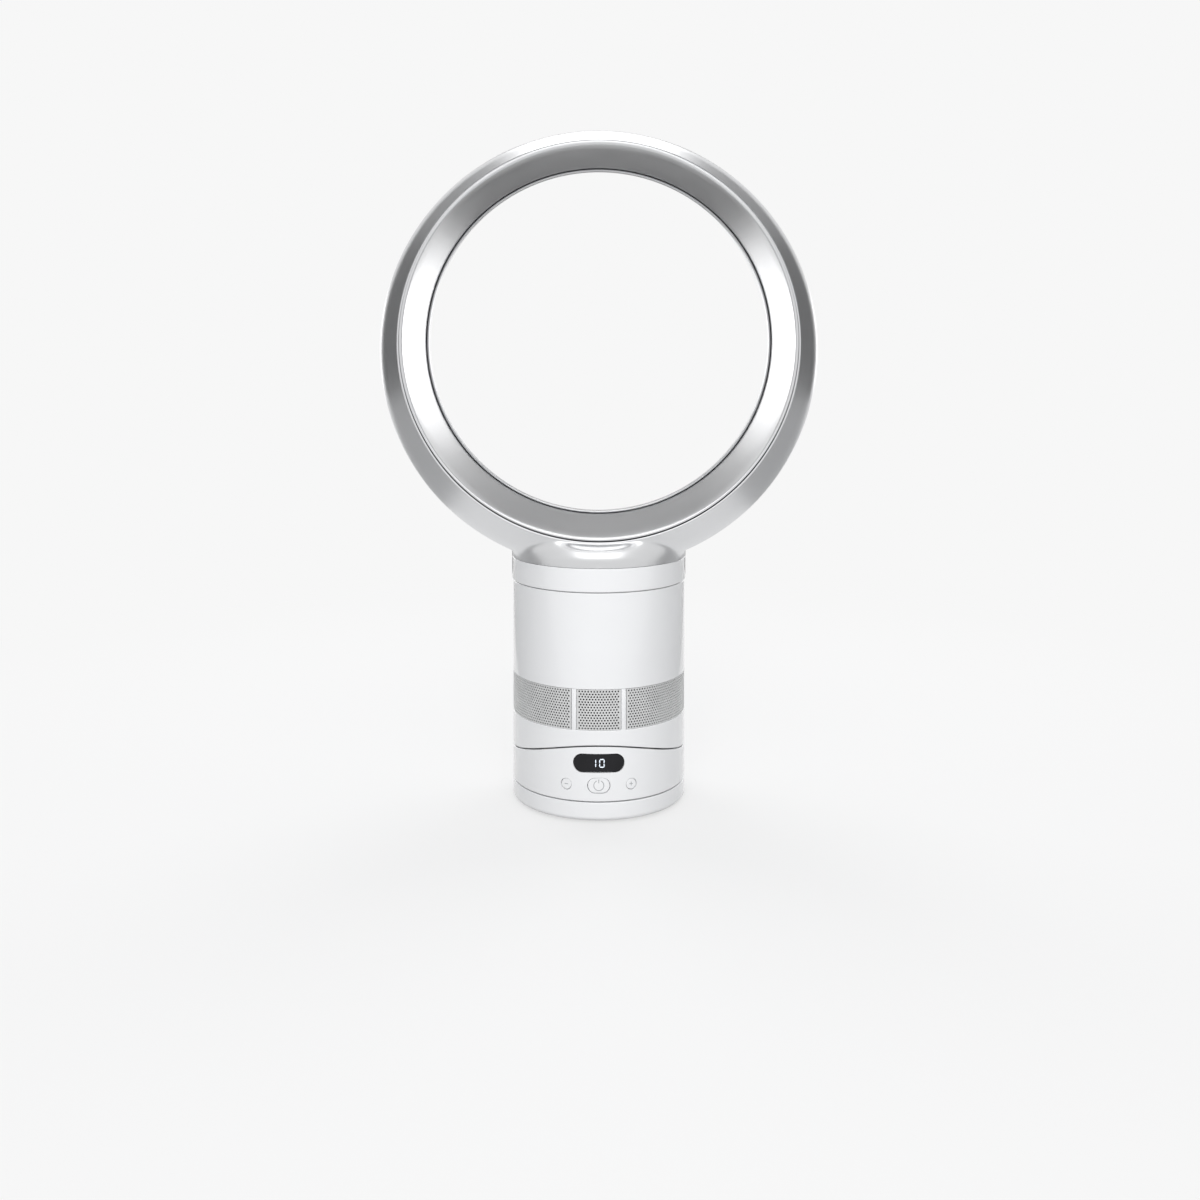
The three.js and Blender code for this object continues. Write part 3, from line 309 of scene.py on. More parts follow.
foot_outer, foot_top, skirt_inner = 61.5, 13.8, 58.3
hub_hole, deck_bottom, deck_top, gear_wall = 11.3, 6.2, 8.4, 46
cover_radius, cover_bottom, cover_top = 58, 1.3, 3.3
screw_circle, screw_lead, screw_hole = 53.5, 22, 1.3
inlet_level = 7.35
foot_shell = turned("foot_ring", [
    (hub_hole, deck_bottom, 0), (hub_hole, deck_top, 0), (gear_wall, deck_top, 0),
    (gear_wall, foot_top, 0.3), (foot_outer, foot_top, 0.6), (foot_outer, cover_bottom, 2.8),
    (skirt_inner, cover_bottom, 0.15), (skirt_inner, 11.4, 0), (48.4, 11.4, 0),
    (48.4, deck_bottom, 0)], white_gloss)
cut(foot_shell, rod(4.2, (0, 57, inlet_level), (0, 63, inlet_level)))
screw_turns = [math.radians(screw_lead + 90 * i) for i in range(4)]
screw_places = [(screw_circle * math.cos(a), screw_circle * math.sin(a)) for a in screw_turns]
for x, y in screw_places:
    boss = rod(3.4, (x, y, 3.4), (x, y, 11.6), 24)
    joined(foot_shell, cut(boss, rod(screw_hole, (x, y, 0), (x, y, 10.3), 24)))
fitted(foot_shell, white_gloss, "foot", "body_white", "foot_shell")

cover = turned("foot_cover", [
    (at_axis, cover_bottom, 0), (cover_radius, cover_bottom, 0.4), (cover_radius, cover_top, 0.2),
    (at_axis, cover_top, 0)], grey_plastic)
for x, y in screw_places:
    cut(cover, rod(2.9, (x, y, 0), (x, y, 2.5)), rod(screw_hole, (x, y, 0), (x, y, 5), 24))
fitted(cover, grey_plastic, "foot", "inner_grey", "bottom_cover")

copies, given = new_tree("copies_round_a_circle", count="int", circle="float", lead="float",
                         finish="finish")
spots = added(copies, "GeometryNodeMeshCircle", {
    "Vertices": given["count"], "Radius": given["circle"]})
angles = added(copies, "ShaderNodeCombineXYZ", {"Z": given["lead"]})
turner = added(copies, "GeometryNodeTransform", {
    "Geometry": spots.outputs["Mesh"], "Rotation": angles.outputs["Vector"]})
placer = added(copies, "GeometryNodeInstanceOnPoints", {
    "Points": turner.outputs["Geometry"], "Instance": given["Shape"]})
end_tree(copies, placer.outputs["Instances"], given)

screw = turned("screw", [(at_axis, 1.6, 0), (2.3, 1.6, 0), (2.6, 1.85, 0), (2.6, 2.5, 0),
                         (1, 2.5, 0), (1, 7.6, 0), (0.3, 8.3, 0), (at_axis, 8.3, 0)], steel, 24)
cut(screw, brick((3, 0.7, 1), (0, 0, 1.7)))
cut(screw, brick((0.7, 3, 1), (0, 0, 1.7)))
screws = grown("foot_screws", screw.data, copies, count=4, circle=screw_circle * mm,
               lead=math.radians(screw_lead), finish=steel)
bpy.data.objects.remove(screw)
fitted(screws, steel, "foot", "steel", *[f"foot_screw_{i}" for i in (1, 2, 3, 4)])

pad_circle, pad_lead = 44, 45
pad = turned("pad", [(at_axis, 0, 0), (6, 0, 0.5), (6, 1.3, 0), (at_axis, 1.3, 0)], rubber, 48)
pads = grown("rubber_feet", pad.data, copies, count=4, circle=pad_circle * mm,
             lead=math.radians(pad_lead), finish=rubber)
bpy.data.objects.remove(pad)
fitted(pads, rubber, "foot", "rubber_dark", *[f"rubber_foot_{i}" for i in (1, 2, 3, 4)])

# ---- Power inlet ----
# A low-voltage barrel socket in dark plastic, soldered to a small block behind the skirt of the
# foot. Its nose fills a round window at the rear and holds a plated centre pin.

dark_plastic = moulded("dark_plastic", (0.035, 0.038, 0.042), 0.45, mottle=0.15, grain=0.2,
                       grain_scale=2600)


def rearward(piece, level):
    """A piece turned about the upright axis, laid down to point to the rear."""
    piece.data.transform(Matrix.Translation((0, 0, level * mm)) @ Matrix.Rotation(
        math.radians(-90), 4, "X"))
    return piece


nose = rearward(turned("power_inlet_nose", [
    (at_axis, 51, 0), (3.9, 51, 0), (3.9, 61, 0.25), (3.2, 61, 0.15), (3.2, 51.6, 0),
    (at_axis, 51.6, 0)], dark_plastic, 64), inlet_level)
pin = rearward(turned("pin", [(at_axis, 50.8, 0), (0.9, 50.8, 0), (0.9, 55, 0.3),
                              (at_axis, 55, 0)], steel, 32), inlet_level)
block = cut(brick((11, 8.6, 7.8), (0, 53.2, inlet_level), 0.04),
            rod(3.5, (0, 51.2, inlet_level), (0, 60, inlet_level)))
fitted(joined(nose, block), dark_plastic, "foot", "inner_dark", "power_inlet")
fitted(pin, steel, "foot", "steel")

# ---- Control base ----
# The lower cylinder in glossy white plastic, which swings on the foot. Its top edge is scooped to
# the arc that the body tilts along, and it has windows for the display and the three buttons.

tilt_level = 174
base_arc, body_arc = 136.9, 136.1
body_outer, body_inner = 61.5, 59.1
base_bottom = 14.6


def arc_level(radius, y):
    """The level of an arc about the tilt axis."""
    return tilt_level - np.sqrt(radius ** 2 - y ** 2)


def bands(rings, facets, closed=False):
    """The faces between rings of points that lie one after another."""
    return [(j * facets + i, j * facets + (i + 1) % facets,
             (j + 1) % rings * facets + (i + 1) % facets, (j + 1) % rings * facets + i)
            for j in range(rings if closed else rings - 1) for i in range(facets)]


def walled(name, inner, outer, low, high, soft=0.5, facets=288):
    """An upright tube between two levels, each a function of the distance to the front or rear."""
    bends = [(math.sin(a), math.cos(a)) for a in np.linspace(0, math.pi / 2, 5)]
    outline = []
    outline += [(outer - soft * (1 - s), "low", soft * (1 - c)) for s, c in bends]
    outline += [(outer, "low", soft + 0.2), (outer, "high", -soft - 0.2)]
    outline += [(outer - soft * (1 - c), "high", -soft * (1 - s)) for s, c in bends]
    outline += [(inner + soft * (1 - s) / 2, "high", -soft * (1 - c) / 2) for s, c in bends[::-1]]
    outline += [(inner, "low", 0)]
    turn = np.linspace(0, 2 * math.pi, facets, endpoint=False)
    points = []
    for radius, edge, lift in outline:
        x, y = radius * np.cos(turn), radius * np.sin(turn)
        level = (low(y) if edge == "low" else high(y)) + lift + 0 * x
        points.append(np.stack([x, y, level], 1))
    mesh = bpy.data.meshes.new(name)
    mesh.from_pydata(np.concatenate(points) * mm, [], bands(len(outline), facets, closed=True))
    return in_scene(name, mesh)


def pill(width, height, grow=0.0, steps=20):
    """The outline of a slot with round ends, as (across, up) and the point on its spine."""
    r = height / 2
    half = width / 2 - r
    turns = np.concatenate([np.linspace(-90, 90, steps), np.linspace(90, 270, steps)])
    side = np.concatenate([np.ones(steps), -np.ones(steps)])
    spine = np.stack([half * side, 0 * side], 1)
    turns = np.radians(turns)
    edge = spine + (r + grow) * np.stack([np.cos(turns), np.sin(turns)], 1)
    return edge, spine


def on_wall(flat, radius, level, turn):
    """Points drawn flat, as (across, up), laid round the upright wall at a radius."""
    angle = flat[:, 0] / body_outer + math.radians(turn)
    return np.stack([radius * np.sin(angle), -radius * np.cos(angle), level + flat[:, 1]], 1)


def plug(name, width, height, level, rings, turn=0.0):
    """A pill-shaped solid that follows the round wall: rings are (grow, radius) from the back
    to the face, and the face closes on the spine."""
    points = []
    for grow, radius in rings:
        edge, spine = pill(width, height, grow)
        points.append((edge, radius))
    for share in (0.75, 0.5, 0.25, 0.0):
        points.append((spine + (edge - spine) * share, rings[-1][1]))
    back = [(spine + (points[0][0] - spine) * share, rings[0][1]) for share in (0.0, 0.5)]
    rows = [on_wall(flat, radius, level, turn) for flat, radius in back + points]
    shape = bmesh.new()
    made = [shape.verts.new(p * mm) for p in np.concatenate(rows)]
    for face in bands(len(rows), len(rows[0])):
        shape.faces.new([made[k] for k in face])
    bmesh.ops.remove_doubles(shape, verts=shape.verts, dist=1e-6)
    bmesh.ops.dissolve_degenerate(shape, edges=shape.edges, dist=1e-7)
    return built(name, shape)


display_level = 40.3915
button_level = 25.3915
buttons = {"button_speed_down": (7.2, 7.2, -21, "speed_down_button"),
           "button_power": (15, 10, 0, "power_button"),
           "button_speed_up": (7.2, 7.2, 21, "speed_up_button")}

base_shell = walled("control_base_tube", body_inner, body_outer,
                    lambda y: base_bottom, lambda y: arc_level(base_arc, y))
windows = [plug("window", 35.4, 12.8, display_level, [(0, 55), (0, 64)])]
for width, height, turn, _ in buttons.values():
    windows.append(plug("hole", width, height, button_level, [(0.3, 55), (0.3, 64)], turn))
for window in windows:
    outward(window.data)
cut(base_shell, *windows)
fitted(base_shell, white_gloss, "control_base", "body_white", "control_base_shell")

# ---- Display ----
# A smoked acrylic lens, polished and bent to the round of the base, over a two-digit light panel.
# The digits are plain lit bars that show through the lens.

black_lens = moulded("smoked_lens", (0.006, 0.006, 0.008), 0.06, mottle=0.3, mottle_scale=60,
                     uneven=0.02, grain=0.02, grain_scale=300, shine=0.3)
lens_face = 61.35
lens = plug("display_lens_fine", 34.8, 12.2, display_level,
            [(-0.2, 59.35), (0, 59.6), (0, 61.0), (-0.12, 61.22), (-0.4, lens_face),
             (-0.5, lens_face)])
fitted(lens, black_lens, "control_base", "display_black", "display_lens")


def bent_bars(name, bars, level, radius, proud, turn=0.0):
    """Thin flat bars laid on the round wall: each is a list of (across, up) corners."""
    shape = bmesh.new()
    for bar in bars:
        made = [shape.verts.new(p * mm) for depth in (radius - 0.3, radius + proud)
                for p in on_wall(np.array(bar), depth, level, turn)]
        count = len(bar)
        for face in (range(count, 2 * count), range(count - 1, -1, -1), *bands(2, count)):
            shape.faces.new([made[k] for k in face])
    bmesh.ops.recalc_face_normals(shape, faces=shape.faces)
    return built(name, shape)


digit_light = moulded("digit_light", (0.75, 0.82, 0.9), 0.4, glow=0.5)
digit_half, digit_rise, bar_half = 1.5, 2.6, 0.3
segments = {"a": ((0, digit_rise), 1), "b": ((digit_half, digit_rise / 2), 0),
            "c": ((digit_half, -digit_rise / 2), 0), "d": ((0, -digit_rise), 1),
            "e": ((-digit_half, -digit_rise / 2), 0), "f": ((-digit_half, digit_rise / 2), 0),
            "g": ((0, 0), 1)}
bars = []
for shift, lit_segments in ((-3.6, "bc"), (2.1, "abcdef")):
    for key in lit_segments:
        (x, y), lying = segments[key]
        long = (digit_half if lying else digit_rise / 2) - bar_half * 0.6
        tip = bar_half * 0.8
        bar = [(-long, 0), (-long + tip, bar_half), (long - tip, bar_half), (long, 0),
               (long - tip, -bar_half), (-long + tip, -bar_half)]
        bars.append([(x + shift + (u if lying else v), y + (v if lying else u)) for u, v in bar])
digits = bent_bars("display_digits", bars, display_level, lens_face, 0.03)
fitted(digits, digit_light, "control_base", "display_black")

# ---- Buttons ----
# Three white caps that press in: each is moulded with a flange behind the wall and a stem that
# reaches its switch, and has a pale grey mark printed on its face.

print_grey = moulded("print_grey", (0.33, 0.34, 0.35), 0.5, mottle=0.1, mottle_scale=300)


def arc_bar(radius, wide, start, end, steps=28):
    """A line of even width along a round, as short flat pieces."""
    turns = np.radians(np.linspace(start, end, steps + 1))
    inner, outer = radius - wide / 2, radius + wide / 2
    return [[(r * math.cos(t), r * math.sin(t))
             for r, t in ((inner, a), (outer, a), (outer, b), (inner, b))]
            for a, b in zip(turns[:-1], turns[1:])]


def straight_bar(half, low, high):
    """The corners of an upright line, from half its width and its two ends."""
    return [(-half, low), (half, low), (half, high), (-half, high)]


dash, half_line = 1.3, 0.22
minus = straight_bar(dash, -half_line, half_line)
marks = {"button_speed_down": [minus],
         "button_power": arc_bar(3.4, 0.5, 115, 425) + [straight_bar(0.25, 1.6, 4.1)],
         "button_speed_up": [minus, straight_bar(half_line, half_line, dash),
                             straight_bar(half_line, -dash, -half_line)]}
board_face, stem_radius, stem_root = 51.4, 1.6, 57.6
cap_back, cap_face = 57.4, 61.2
for name, (width, height, turn, body) in buttons.items():
    cap = plug(name + "_cap", width, height, button_level,
               [(0, cap_back), (0, 60.8), (-0.12, 61.08), (-0.4, cap_face), (-0.5, cap_face)],
               turn)
    flange = plug("flange", width, height, button_level, [(0.8, 57.1), (0.8, 58.3)], turn)
    tilted = math.radians(turn)
    stem_end = (board_face + stem_radius * math.sin(abs(tilted))) / math.cos(tilted) + 1
    forward = np.array([math.sin(tilted), -math.cos(tilted), 0])
    level = np.array([0, 0, button_level])
    stem = rod(stem_radius, forward * stem_end + level, forward * stem_root + level, 24)
    fitted(joined(cap, flange, stem), white_gloss, body, "body_white", name)
    mark = bent_bars(name + "_mark", marks[name], button_level, cap_face, 0.02, turn)
    fitted(mark, print_grey, body, "inner_grey")

# ---- Tilt slide ----
# Two plates bent to the same arc: the grey cradle that closes the base, and the shoe under the
# body that slides on it on nylon strips, held by a steel retainer through a slot.

nylon = moulded("natural_nylon", (0.72, 0.69, 0.6), 0.42, mottle=0.04, grain=0.1)


def bent_disc(name, radius, upper_arc, lower_arc, rings=30, facets=144):
    """A round plate between two arcs about the tilt axis."""
    turn = np.linspace(0, 2 * math.pi, facets, endpoint=False)
    rows = []
    for arc, order in ((upper_arc, range(1, rings + 1)), (lower_arc, range(rings, 0, -1))):
        for k in order:
            x, y = radius * k / rings * np.cos(turn), radius * k / rings * np.sin(turn)
            rows.append(np.stack([x, y, arc_level(arc, y)], 1))
    points = [*np.concatenate(rows) * mm, np.array([0, 0, arc_level(upper_arc, 0)]) * mm,
              np.array([0, 0, arc_level(lower_arc, 0)]) * mm]
    count = len(rows)
    faces = bands(count, facets)
    top, bottom = count * facets, count * facets + 1
    faces += [(top, (i + 1) % facets, i) for i in range(facets)]
    last = (count - 1) * facets
    faces += [(bottom, last + i, last + (i + 1) % facets) for i in range(facets)]
    mesh = bpy.data.meshes.new(name)
    mesh.from_pydata(points, [], faces)
    return in_scene(name, mesh)


plate_radius, cradle_wall, shoe_wall = 58.8, 2.4, 2.2
tongue_wide, tongue_long = 20, 16
tilt_range, slot_room = math.radians(10), 1.6
cradle = bent_disc("tilt_cradle_plate", plate_radius, base_arc, base_arc + cradle_wall)
outward(cradle.data)
slot_half = (base_arc + cradle_wall) * math.sin(tilt_range + tongue_long / 2 / base_arc)
cut(cradle, brick((tongue_wide + slot_room, 2 * (slot_half + slot_room), 40), (0, 0, 36)))
fitted(cradle, grey_plastic, "control_base", "inner_grey", "tilt_cradle")
shoe = bent_disc("tilt_shoe_plate", plate_radius, body_arc - shoe_wall, body_arc)
outward(shoe.data)
joined(shoe, brick((tongue_wide, tongue_long, 4.2), (0, 0, 36.3)))
fitted(shoe, grey_plastic, "main_body", "inner_grey", "tilt_shoe")

# ---- Lower ring of the body ----
# A white ring whose lower edge follows the tilt arc, with a ledge for the foam disc inside it.
# Six ribs stand on it between the inlet panels and carry the upper casing.

inlet_bottom, inlet_top = 62.3, 89.9
lower_ring = walled("lower_ring_tube", body_inner, body_outer,
                    lambda y: arc_level(body_arc, y), lambda y: inlet_bottom)
ledge = turned("ledge", [(52, 54.3, 0), (60, 54.3, 0), (60, 56.5, 0), (52, 56.5, 0.4)],
               white_gloss, 144)
rib_turns = [16, 90, 164, 196, 270, 344]
rib_circle, rib_deep, rib_wide = 58.2, 6.4, 3.3
rib_bottom = inlet_bottom - 4
ribs, given = new_tree("ribs_at_angles", finish="finish", wide="float", deep="float",
                       tall="float")
rib_size = added(ribs, "ShaderNodeCombineXYZ", {
    "X": given["deep"], "Y": given["wide"], "Z": given["tall"]})
bar = added(ribs, "GeometryNodeMeshCube", {"Size": rib_size.outputs["Vector"]})
spot = added(ribs, "GeometryNodeInputPosition")
apart = added(ribs, "ShaderNodeSeparateXYZ", {"Vector": spot.outputs["Position"]}).outputs
facing = added(ribs, "ShaderNodeMath", {0: apart["Y"], 1: apart["X"]}, operation="ARCTAN2")
spin = added(ribs, "ShaderNodeCombineXYZ", {"Z": facing.outputs["Value"]})
placer = added(ribs, "GeometryNodeInstanceOnPoints", {
    "Points": given["Shape"], "Instance": bar.outputs["Mesh"],
    "Rotation": spin.outputs["Vector"]})
end_tree(ribs, placer.outputs["Instances"], given)
rib_spots = bpy.data.meshes.new("rib_spots")
rib_spots.from_pydata([
    (rib_circle * mm * math.sin(a), -rib_circle * mm * math.cos(a),
     (inlet_top + rib_bottom) / 2 * mm) for a in map(math.radians, rib_turns)], [], [])
rib_bars = grown("ribs", rib_spots, ribs, finish=white_gloss, wide=rib_wide * mm,
                 deep=rib_deep * mm, tall=(inlet_top - rib_bottom) * mm)
rounding = rib_bars.modifiers.new("rounding", "BEVEL")
rounding.width, rounding.segments = 0.35 * mm, 2
made_plain(rib_bars)
fitted(joined(lower_ring, ledge, rib_bars), white_gloss, "main_body", "body_white",
       "body_lower_ring")

# ---- Air inlet ----
# Six panels of thin steel sheet, punched with staggered round holes and bent to the round of the
# body. Each sits between two ribs, a little behind the face of the casing.

inlet_steel = moulded("inlet_steel", (0.66, 0.665, 0.665), 0.42, 0.55, mottle=0.05,
                      mottle_scale=90, uneven=0.07, grain=0.15, grain_scale=2500, depth=0.00002)
sheet_outer, sheet_wall = 61.2, 0.8
sheet_gap = 0.3
pitch, row_step, hole = 2.05, 1.775, 0.6


def cell_mesh():
    """One hole in its own patch of sheet, with an extra corner halfway along its long sides."""
    turns = np.radians(np.arange(12) * 30)
    inner = [(hole * math.cos(a), hole * math.sin(a)) for a in turns]
    w, h = pitch / 2, row_step / 2
    outer = [(w, 0), (w, h), (0, h), (-w, h), (-w, 0), (-w, -h), (0, -h), (w, -h)]
    points = [(x * mm, y * mm, 0) for x, y in inner + outer]
    faces = [(0, 12, 13, 1), (1, 13, 2), (2, 13, 14, 3), (3, 14, 15, 4), (4, 15, 5),
             (5, 15, 16, 6), (6, 16, 17, 7), (7, 17, 8), (8, 17, 18, 9), (9, 18, 19, 10),
             (10, 19, 11), (11, 19, 12, 0)]
    mesh = bpy.data.meshes.new("cell")
    mesh.from_pydata(points, [], faces)
    return mesh


panels, given = new_tree(
    "punched_panel", finish="finish", columns="int", rows="int", pitch="float", step="float",
    side="float", end="float", radius="float", centre="float", level="float")


def value(kind, a, b=0):
    """One sum on the tree's sizes."""
    return added(panels, "ShaderNodeMath", {0: a, 1: b}, operation=kind).outputs["Value"]


def whole(number):
    return added(panels, "FunctionNodeFloatToInt", {"Float": number}).outputs["Integer"]


def flat_grid(across, up, columns, rows):
    return added(panels, "GeometryNodeMeshGrid", {
        "Size X": across, "Size Y": up, "Vertices X": columns,
        "Vertices Y": rows}).outputs["Mesh"]


def moved(shape, x=0, y=0):
    shift = added(panels, "ShaderNodeCombineXYZ", {"X": x, "Y": y})
    return added(panels, "GeometryNodeTransform", {
        "Geometry": shape, "Translation": shift.outputs["Vector"]}).outputs["Geometry"]


def copied(points, shape):
    return added(panels, "GeometryNodeInstanceOnPoints", {
        "Points": points, "Instance": shape}).outputs["Instances"]


columns, rows = given["columns"], given["rows"]
step, gap, side, end = given["step"], given["pitch"], given["side"], given["end"]
odd_rows = value("DIVIDE", value("SUBTRACT", rows, 1), 2)
even_rows = value("ADD", odd_rows, 1)
two_steps = value("MULTIPLY", step, 2)
wide = value("MULTIPLY", columns, gap)
tall = value("MULTIPLY", rows, step)
half_gap = value("DIVIDE", gap, 2)
even = flat_grid(value("SUBTRACT", wide, gap), value("MULTIPLY", odd_rows, two_steps),
                 columns, whole(even_rows))
odd_span = value("MULTIPLY", value("SUBTRACT", odd_rows, 1), two_steps)
odd = flat_grid(value("SUBTRACT", wide, value("MULTIPLY", gap, 2)), odd_span,
                whole(value("SUBTRACT", columns, 1)), whole(odd_rows))
edge_points = flat_grid(value("SUBTRACT", wide, half_gap), odd_span, 2, whole(odd_rows))
blank = flat_grid(half_gap, step, 2, 2)
end_strip = flat_grid(wide, end, whole(value("ADD", value("MULTIPLY", columns, 2), 1)), 2)
end_shift = value("DIVIDE", value("ADD", tall, end), 2)
side_strip = flat_grid(side, tall, 2, whole(value("ADD", rows, 1)))
side_shift = value("DIVIDE", value("ADD", wide, side), 2)
corner = flat_grid(side, end, 2, 2)
layers = [copied(even, given["Shape"]), copied(odd, given["Shape"]), copied(edge_points, blank)]
for sign in (1, -1):
    layers.append(moved(end_strip, y=value("MULTIPLY", end_shift, sign)))
    layers.append(moved(side_strip, x=value("MULTIPLY", side_shift, sign)))
    for other in (1, -1):
        layers.append(moved(corner, value("MULTIPLY", side_shift, sign),
                            value("MULTIPLY", end_shift, other)))
whole_sheet = added(panels, "GeometryNodeJoinGeometry")
for layer in layers:
    panels.links.new(layer, whole_sheet.inputs["Geometry"])
real = added(panels, "GeometryNodeRealizeInstances", {"Geometry": whole_sheet.outputs[0]})
weld = added(panels, "GeometryNodeMergeByDistance", {
    "Geometry": real.outputs["Geometry"], "Distance": 0.02 * mm})
spot = added(panels, "GeometryNodeInputPosition")
apart = added(panels, "ShaderNodeSeparateXYZ", {"Vector": spot.outputs["Position"]}).outputs
around = value("ADD", value("DIVIDE", apart["X"], given["radius"]), given["centre"])
inwards = value("MULTIPLY", value("COSINE", around), given["radius"])
bent_to = added(panels, "ShaderNodeCombineXYZ", {
    "X": value("MULTIPLY", value("SINE", around), given["radius"]),
    "Y": value("MULTIPLY", inwards, -1), "Z": value("ADD", apart["Y"], given["level"])})
bend = added(panels, "GeometryNodeSetPosition", {
    "Geometry": weld.outputs["Geometry"], "Position": bent_to.outputs["Vector"]})
end_tree(panels, bend.outputs["Geometry"], given)

rows_of_holes = 15
end_border = (inlet_top - inlet_bottom - sheet_gap - rows_of_holes * row_step) / 2
for i, start in enumerate(rib_turns):
    finish_turn = rib_turns[(i + 1) % 6] + (360 if i == 5 else 0)
    inset = math.degrees((rib_wide / 2 + sheet_gap) / sheet_outer)
    room = math.radians(finish_turn - start - 2 * inset) * sheet_outer
    across = int((room - 1) / pitch)
    panel = grown(f"inlet_panel_{i + 1}", cell_mesh(), panels, finish=inlet_steel,
                  columns=across, rows=rows_of_holes, pitch=pitch * mm, step=row_step * mm,
                  side=(room - across * pitch) / 2 * mm, end=end_border * mm,
                  radius=sheet_outer * mm, centre=math.radians((start + finish_turn) / 2),
                  level=(inlet_bottom + inlet_top) / 2 * mm)
    thick = panel.modifiers.new("thick", "SOLIDIFY")
    thick.thickness, thick.offset = sheet_wall * mm, -1
    made_plain(panel)
    fitted(panel, inlet_steel, "main_body", "inlet_mesh", f"inlet_mesh_{i + 1}")

# ---- Upper casing ----
# The tall white tube over the impeller housing, moulded in one with an inner flange at the top
# that presses on the housing's seal.

casing_top, flange_top, flange_bottom, flange_inner = 154.9, 153.15, 151, 52
casing = turned("upper_casing_tube", [
    (body_inner, inlet_top, 0), (body_outer, inlet_top, 0.5), (body_outer, casing_top, 0.6),
    (body_inner, casing_top, 0.2), (body_inner, flange_top, 0), (flange_inner, flange_top, 0.3),
    (flange_inner, flange_bottom, 0.3), (body_inner, flange_bottom, 0)], white_gloss, 288)
fitted(casing, white_gloss, "main_body", "body_white", "upper_casing")

# ---- Collar ----
# A white ring that carries the loop. Its spigot drops into the casing and locks with a short
# twist, and its sleeve holds the neck of the loop.

collar_outer, collar_bottom, collar_top, sleeve_top = 62.2, 155.5, 171.5, 174.4
collar = turned("collar_ring", [
    (54, 154.7, 0.2), (58.5, 154.7, 0), (58.5, collar_bottom, 0),
    (collar_outer, collar_bottom, 0.6), (collar_outer, collar_top, 0.5), (59.5, collar_top, 0),
    (59.5, sleeve_top, 0.3), (57.1, sleeve_top, 0.3), (57.1, 157.9, 0), (54, 157.9, 0)],
    white_gloss, 288)
fitted(collar, white_gloss, "nozzle", "body_white", "nozzle_collar")

# ---- Loop casings ----
# The loop is three mouldings in silver metallic paint. The front and rear casings snap together
# round its outside and flow down into a round neck that fits over the collar's sleeve.

silver_paint = moulded("silver_paint", (0.70, 0.705, 0.715), 0.3, 1.0, coat=0.1, mottle=0.015,
                       mottle_scale=14, uneven=0.012, grain=0.06, grain_scale=5200,
                       depth=0.000012)
bore_level, loop_drop = 325, 6
mouth, loop_outer, lip = 134.5, 153.8, 127
seam, seam_gap, roll_start, rear = 8, 0.3, 34, 50
front_wall, rear_wall = 1.6, 1.3
core = np.array([143.0, 0.0])
neck_radius, neck_bottom, neck_shoulder, neck_rise = 62.2, 171.8, 175.0, 26.06
neck_turn, blend = math.radians(40), 12.0
ray_step, ray_length, missed = 0.4, 110, -1e3
eased_passes, eased_share, eased_reach = 60, 0.6, 14


def bow(centre_r, centre_y, radius, start, end, steps):
    turns = np.radians(np.linspace(start, end, steps + 1))
    return [(centre_r + radius * math.cos(a), centre_y + radius * math.sin(a)) for a in turns]


def straight(start, end, steps):
    return [tuple(np.array(start) + (np.array(end) - start) * k / steps)
            for k in range(steps + 1)]


def distinct(points):
    """The points without those that repeat the one before."""
    kept = [points[0]]
    for p in points[1:]:
        if math.dist(p, kept[-1]) > 1e-6:
            kept.append(p)
    return np.array(kept)


shoulder = (123.8, -20.459)
front_edge = [(136.8, -46.2), (136.8, -49.4), (136.9, -49.7), (137.15, -49.86), (137.45, -49.9),
              (137.8, -49.76), (138.2, -49.45)]
outline = distinct([
    *front_edge, *straight(front_edge[-1], (146.094, -40.53), 24),
    *bow(*shoulder, 30, -42, -30, 10), *bow(*shoulder, 30, -30, 0, 16),
    *straight((loop_outer, shoulder[1]), (loop_outer, seam), 14),
    *straight((loop_outer, seam), (loop_outer, roll_start), 12),
    *bow(137.8, roll_start, 16, 0, 45, 12), *bow(137.8, roll_start, 16, 45, 90, 20),
    *straight((137.8, rear), (136, rear), 2), *bow(136, 41, 9, 90, 180, 18),
    *straight((lip, 41), (lip, 34.6), 4), (127.15, 34.15), (127.5, roll_start)])
travel = np.concatenate([[0], np.cumsum(np.linalg.norm(np.diff(outline, axis=0), axis=1))])
tip = travel[4]
roll = travel[np.argmin(np.abs(outline[:, 0] - 136) + np.abs(outline[:, 1] - rear))]


def eased(value, low, high):
    """A smooth rise from 0 at low to 1 at high."""
    share = np.clip((value - low) / (high - low), 0, 1)
    return share * share * (3 - 2 * share)


half_turn = np.concatenate([np.arange(0, 30, 0.3), np.arange(30, 60, 1.0),
                            np.linspace(60, 180, 62)])
turns = np.radians(np.concatenate([half_turn, -half_turn[1:-1][::-1]]))


def on_loop(radius, depth, turn):
    """From the loop's own radius, depth and turn from the bottom to a point of the fan."""
    share = np.clip((radius - mouth) / (loop_outer - mouth), 0, 1)
    x = radius * np.sin(turn)
    z = bore_level - share * loop_drop - radius * np.cos(turn)
    return x, depth + 0 * x, z


def outside_neck(x, y, z):
    """Below zero inside the round neck and its dome."""
    round_axis = np.hypot(x, y)
    dome = neck_shoulder + neck_rise * np.sqrt(
        np.clip(1 - (round_axis / neck_radius) ** 2, 0, 1))
    return np.maximum(round_axis - neck_radius, np.where(round_axis < neck_radius, z - dome, 1))


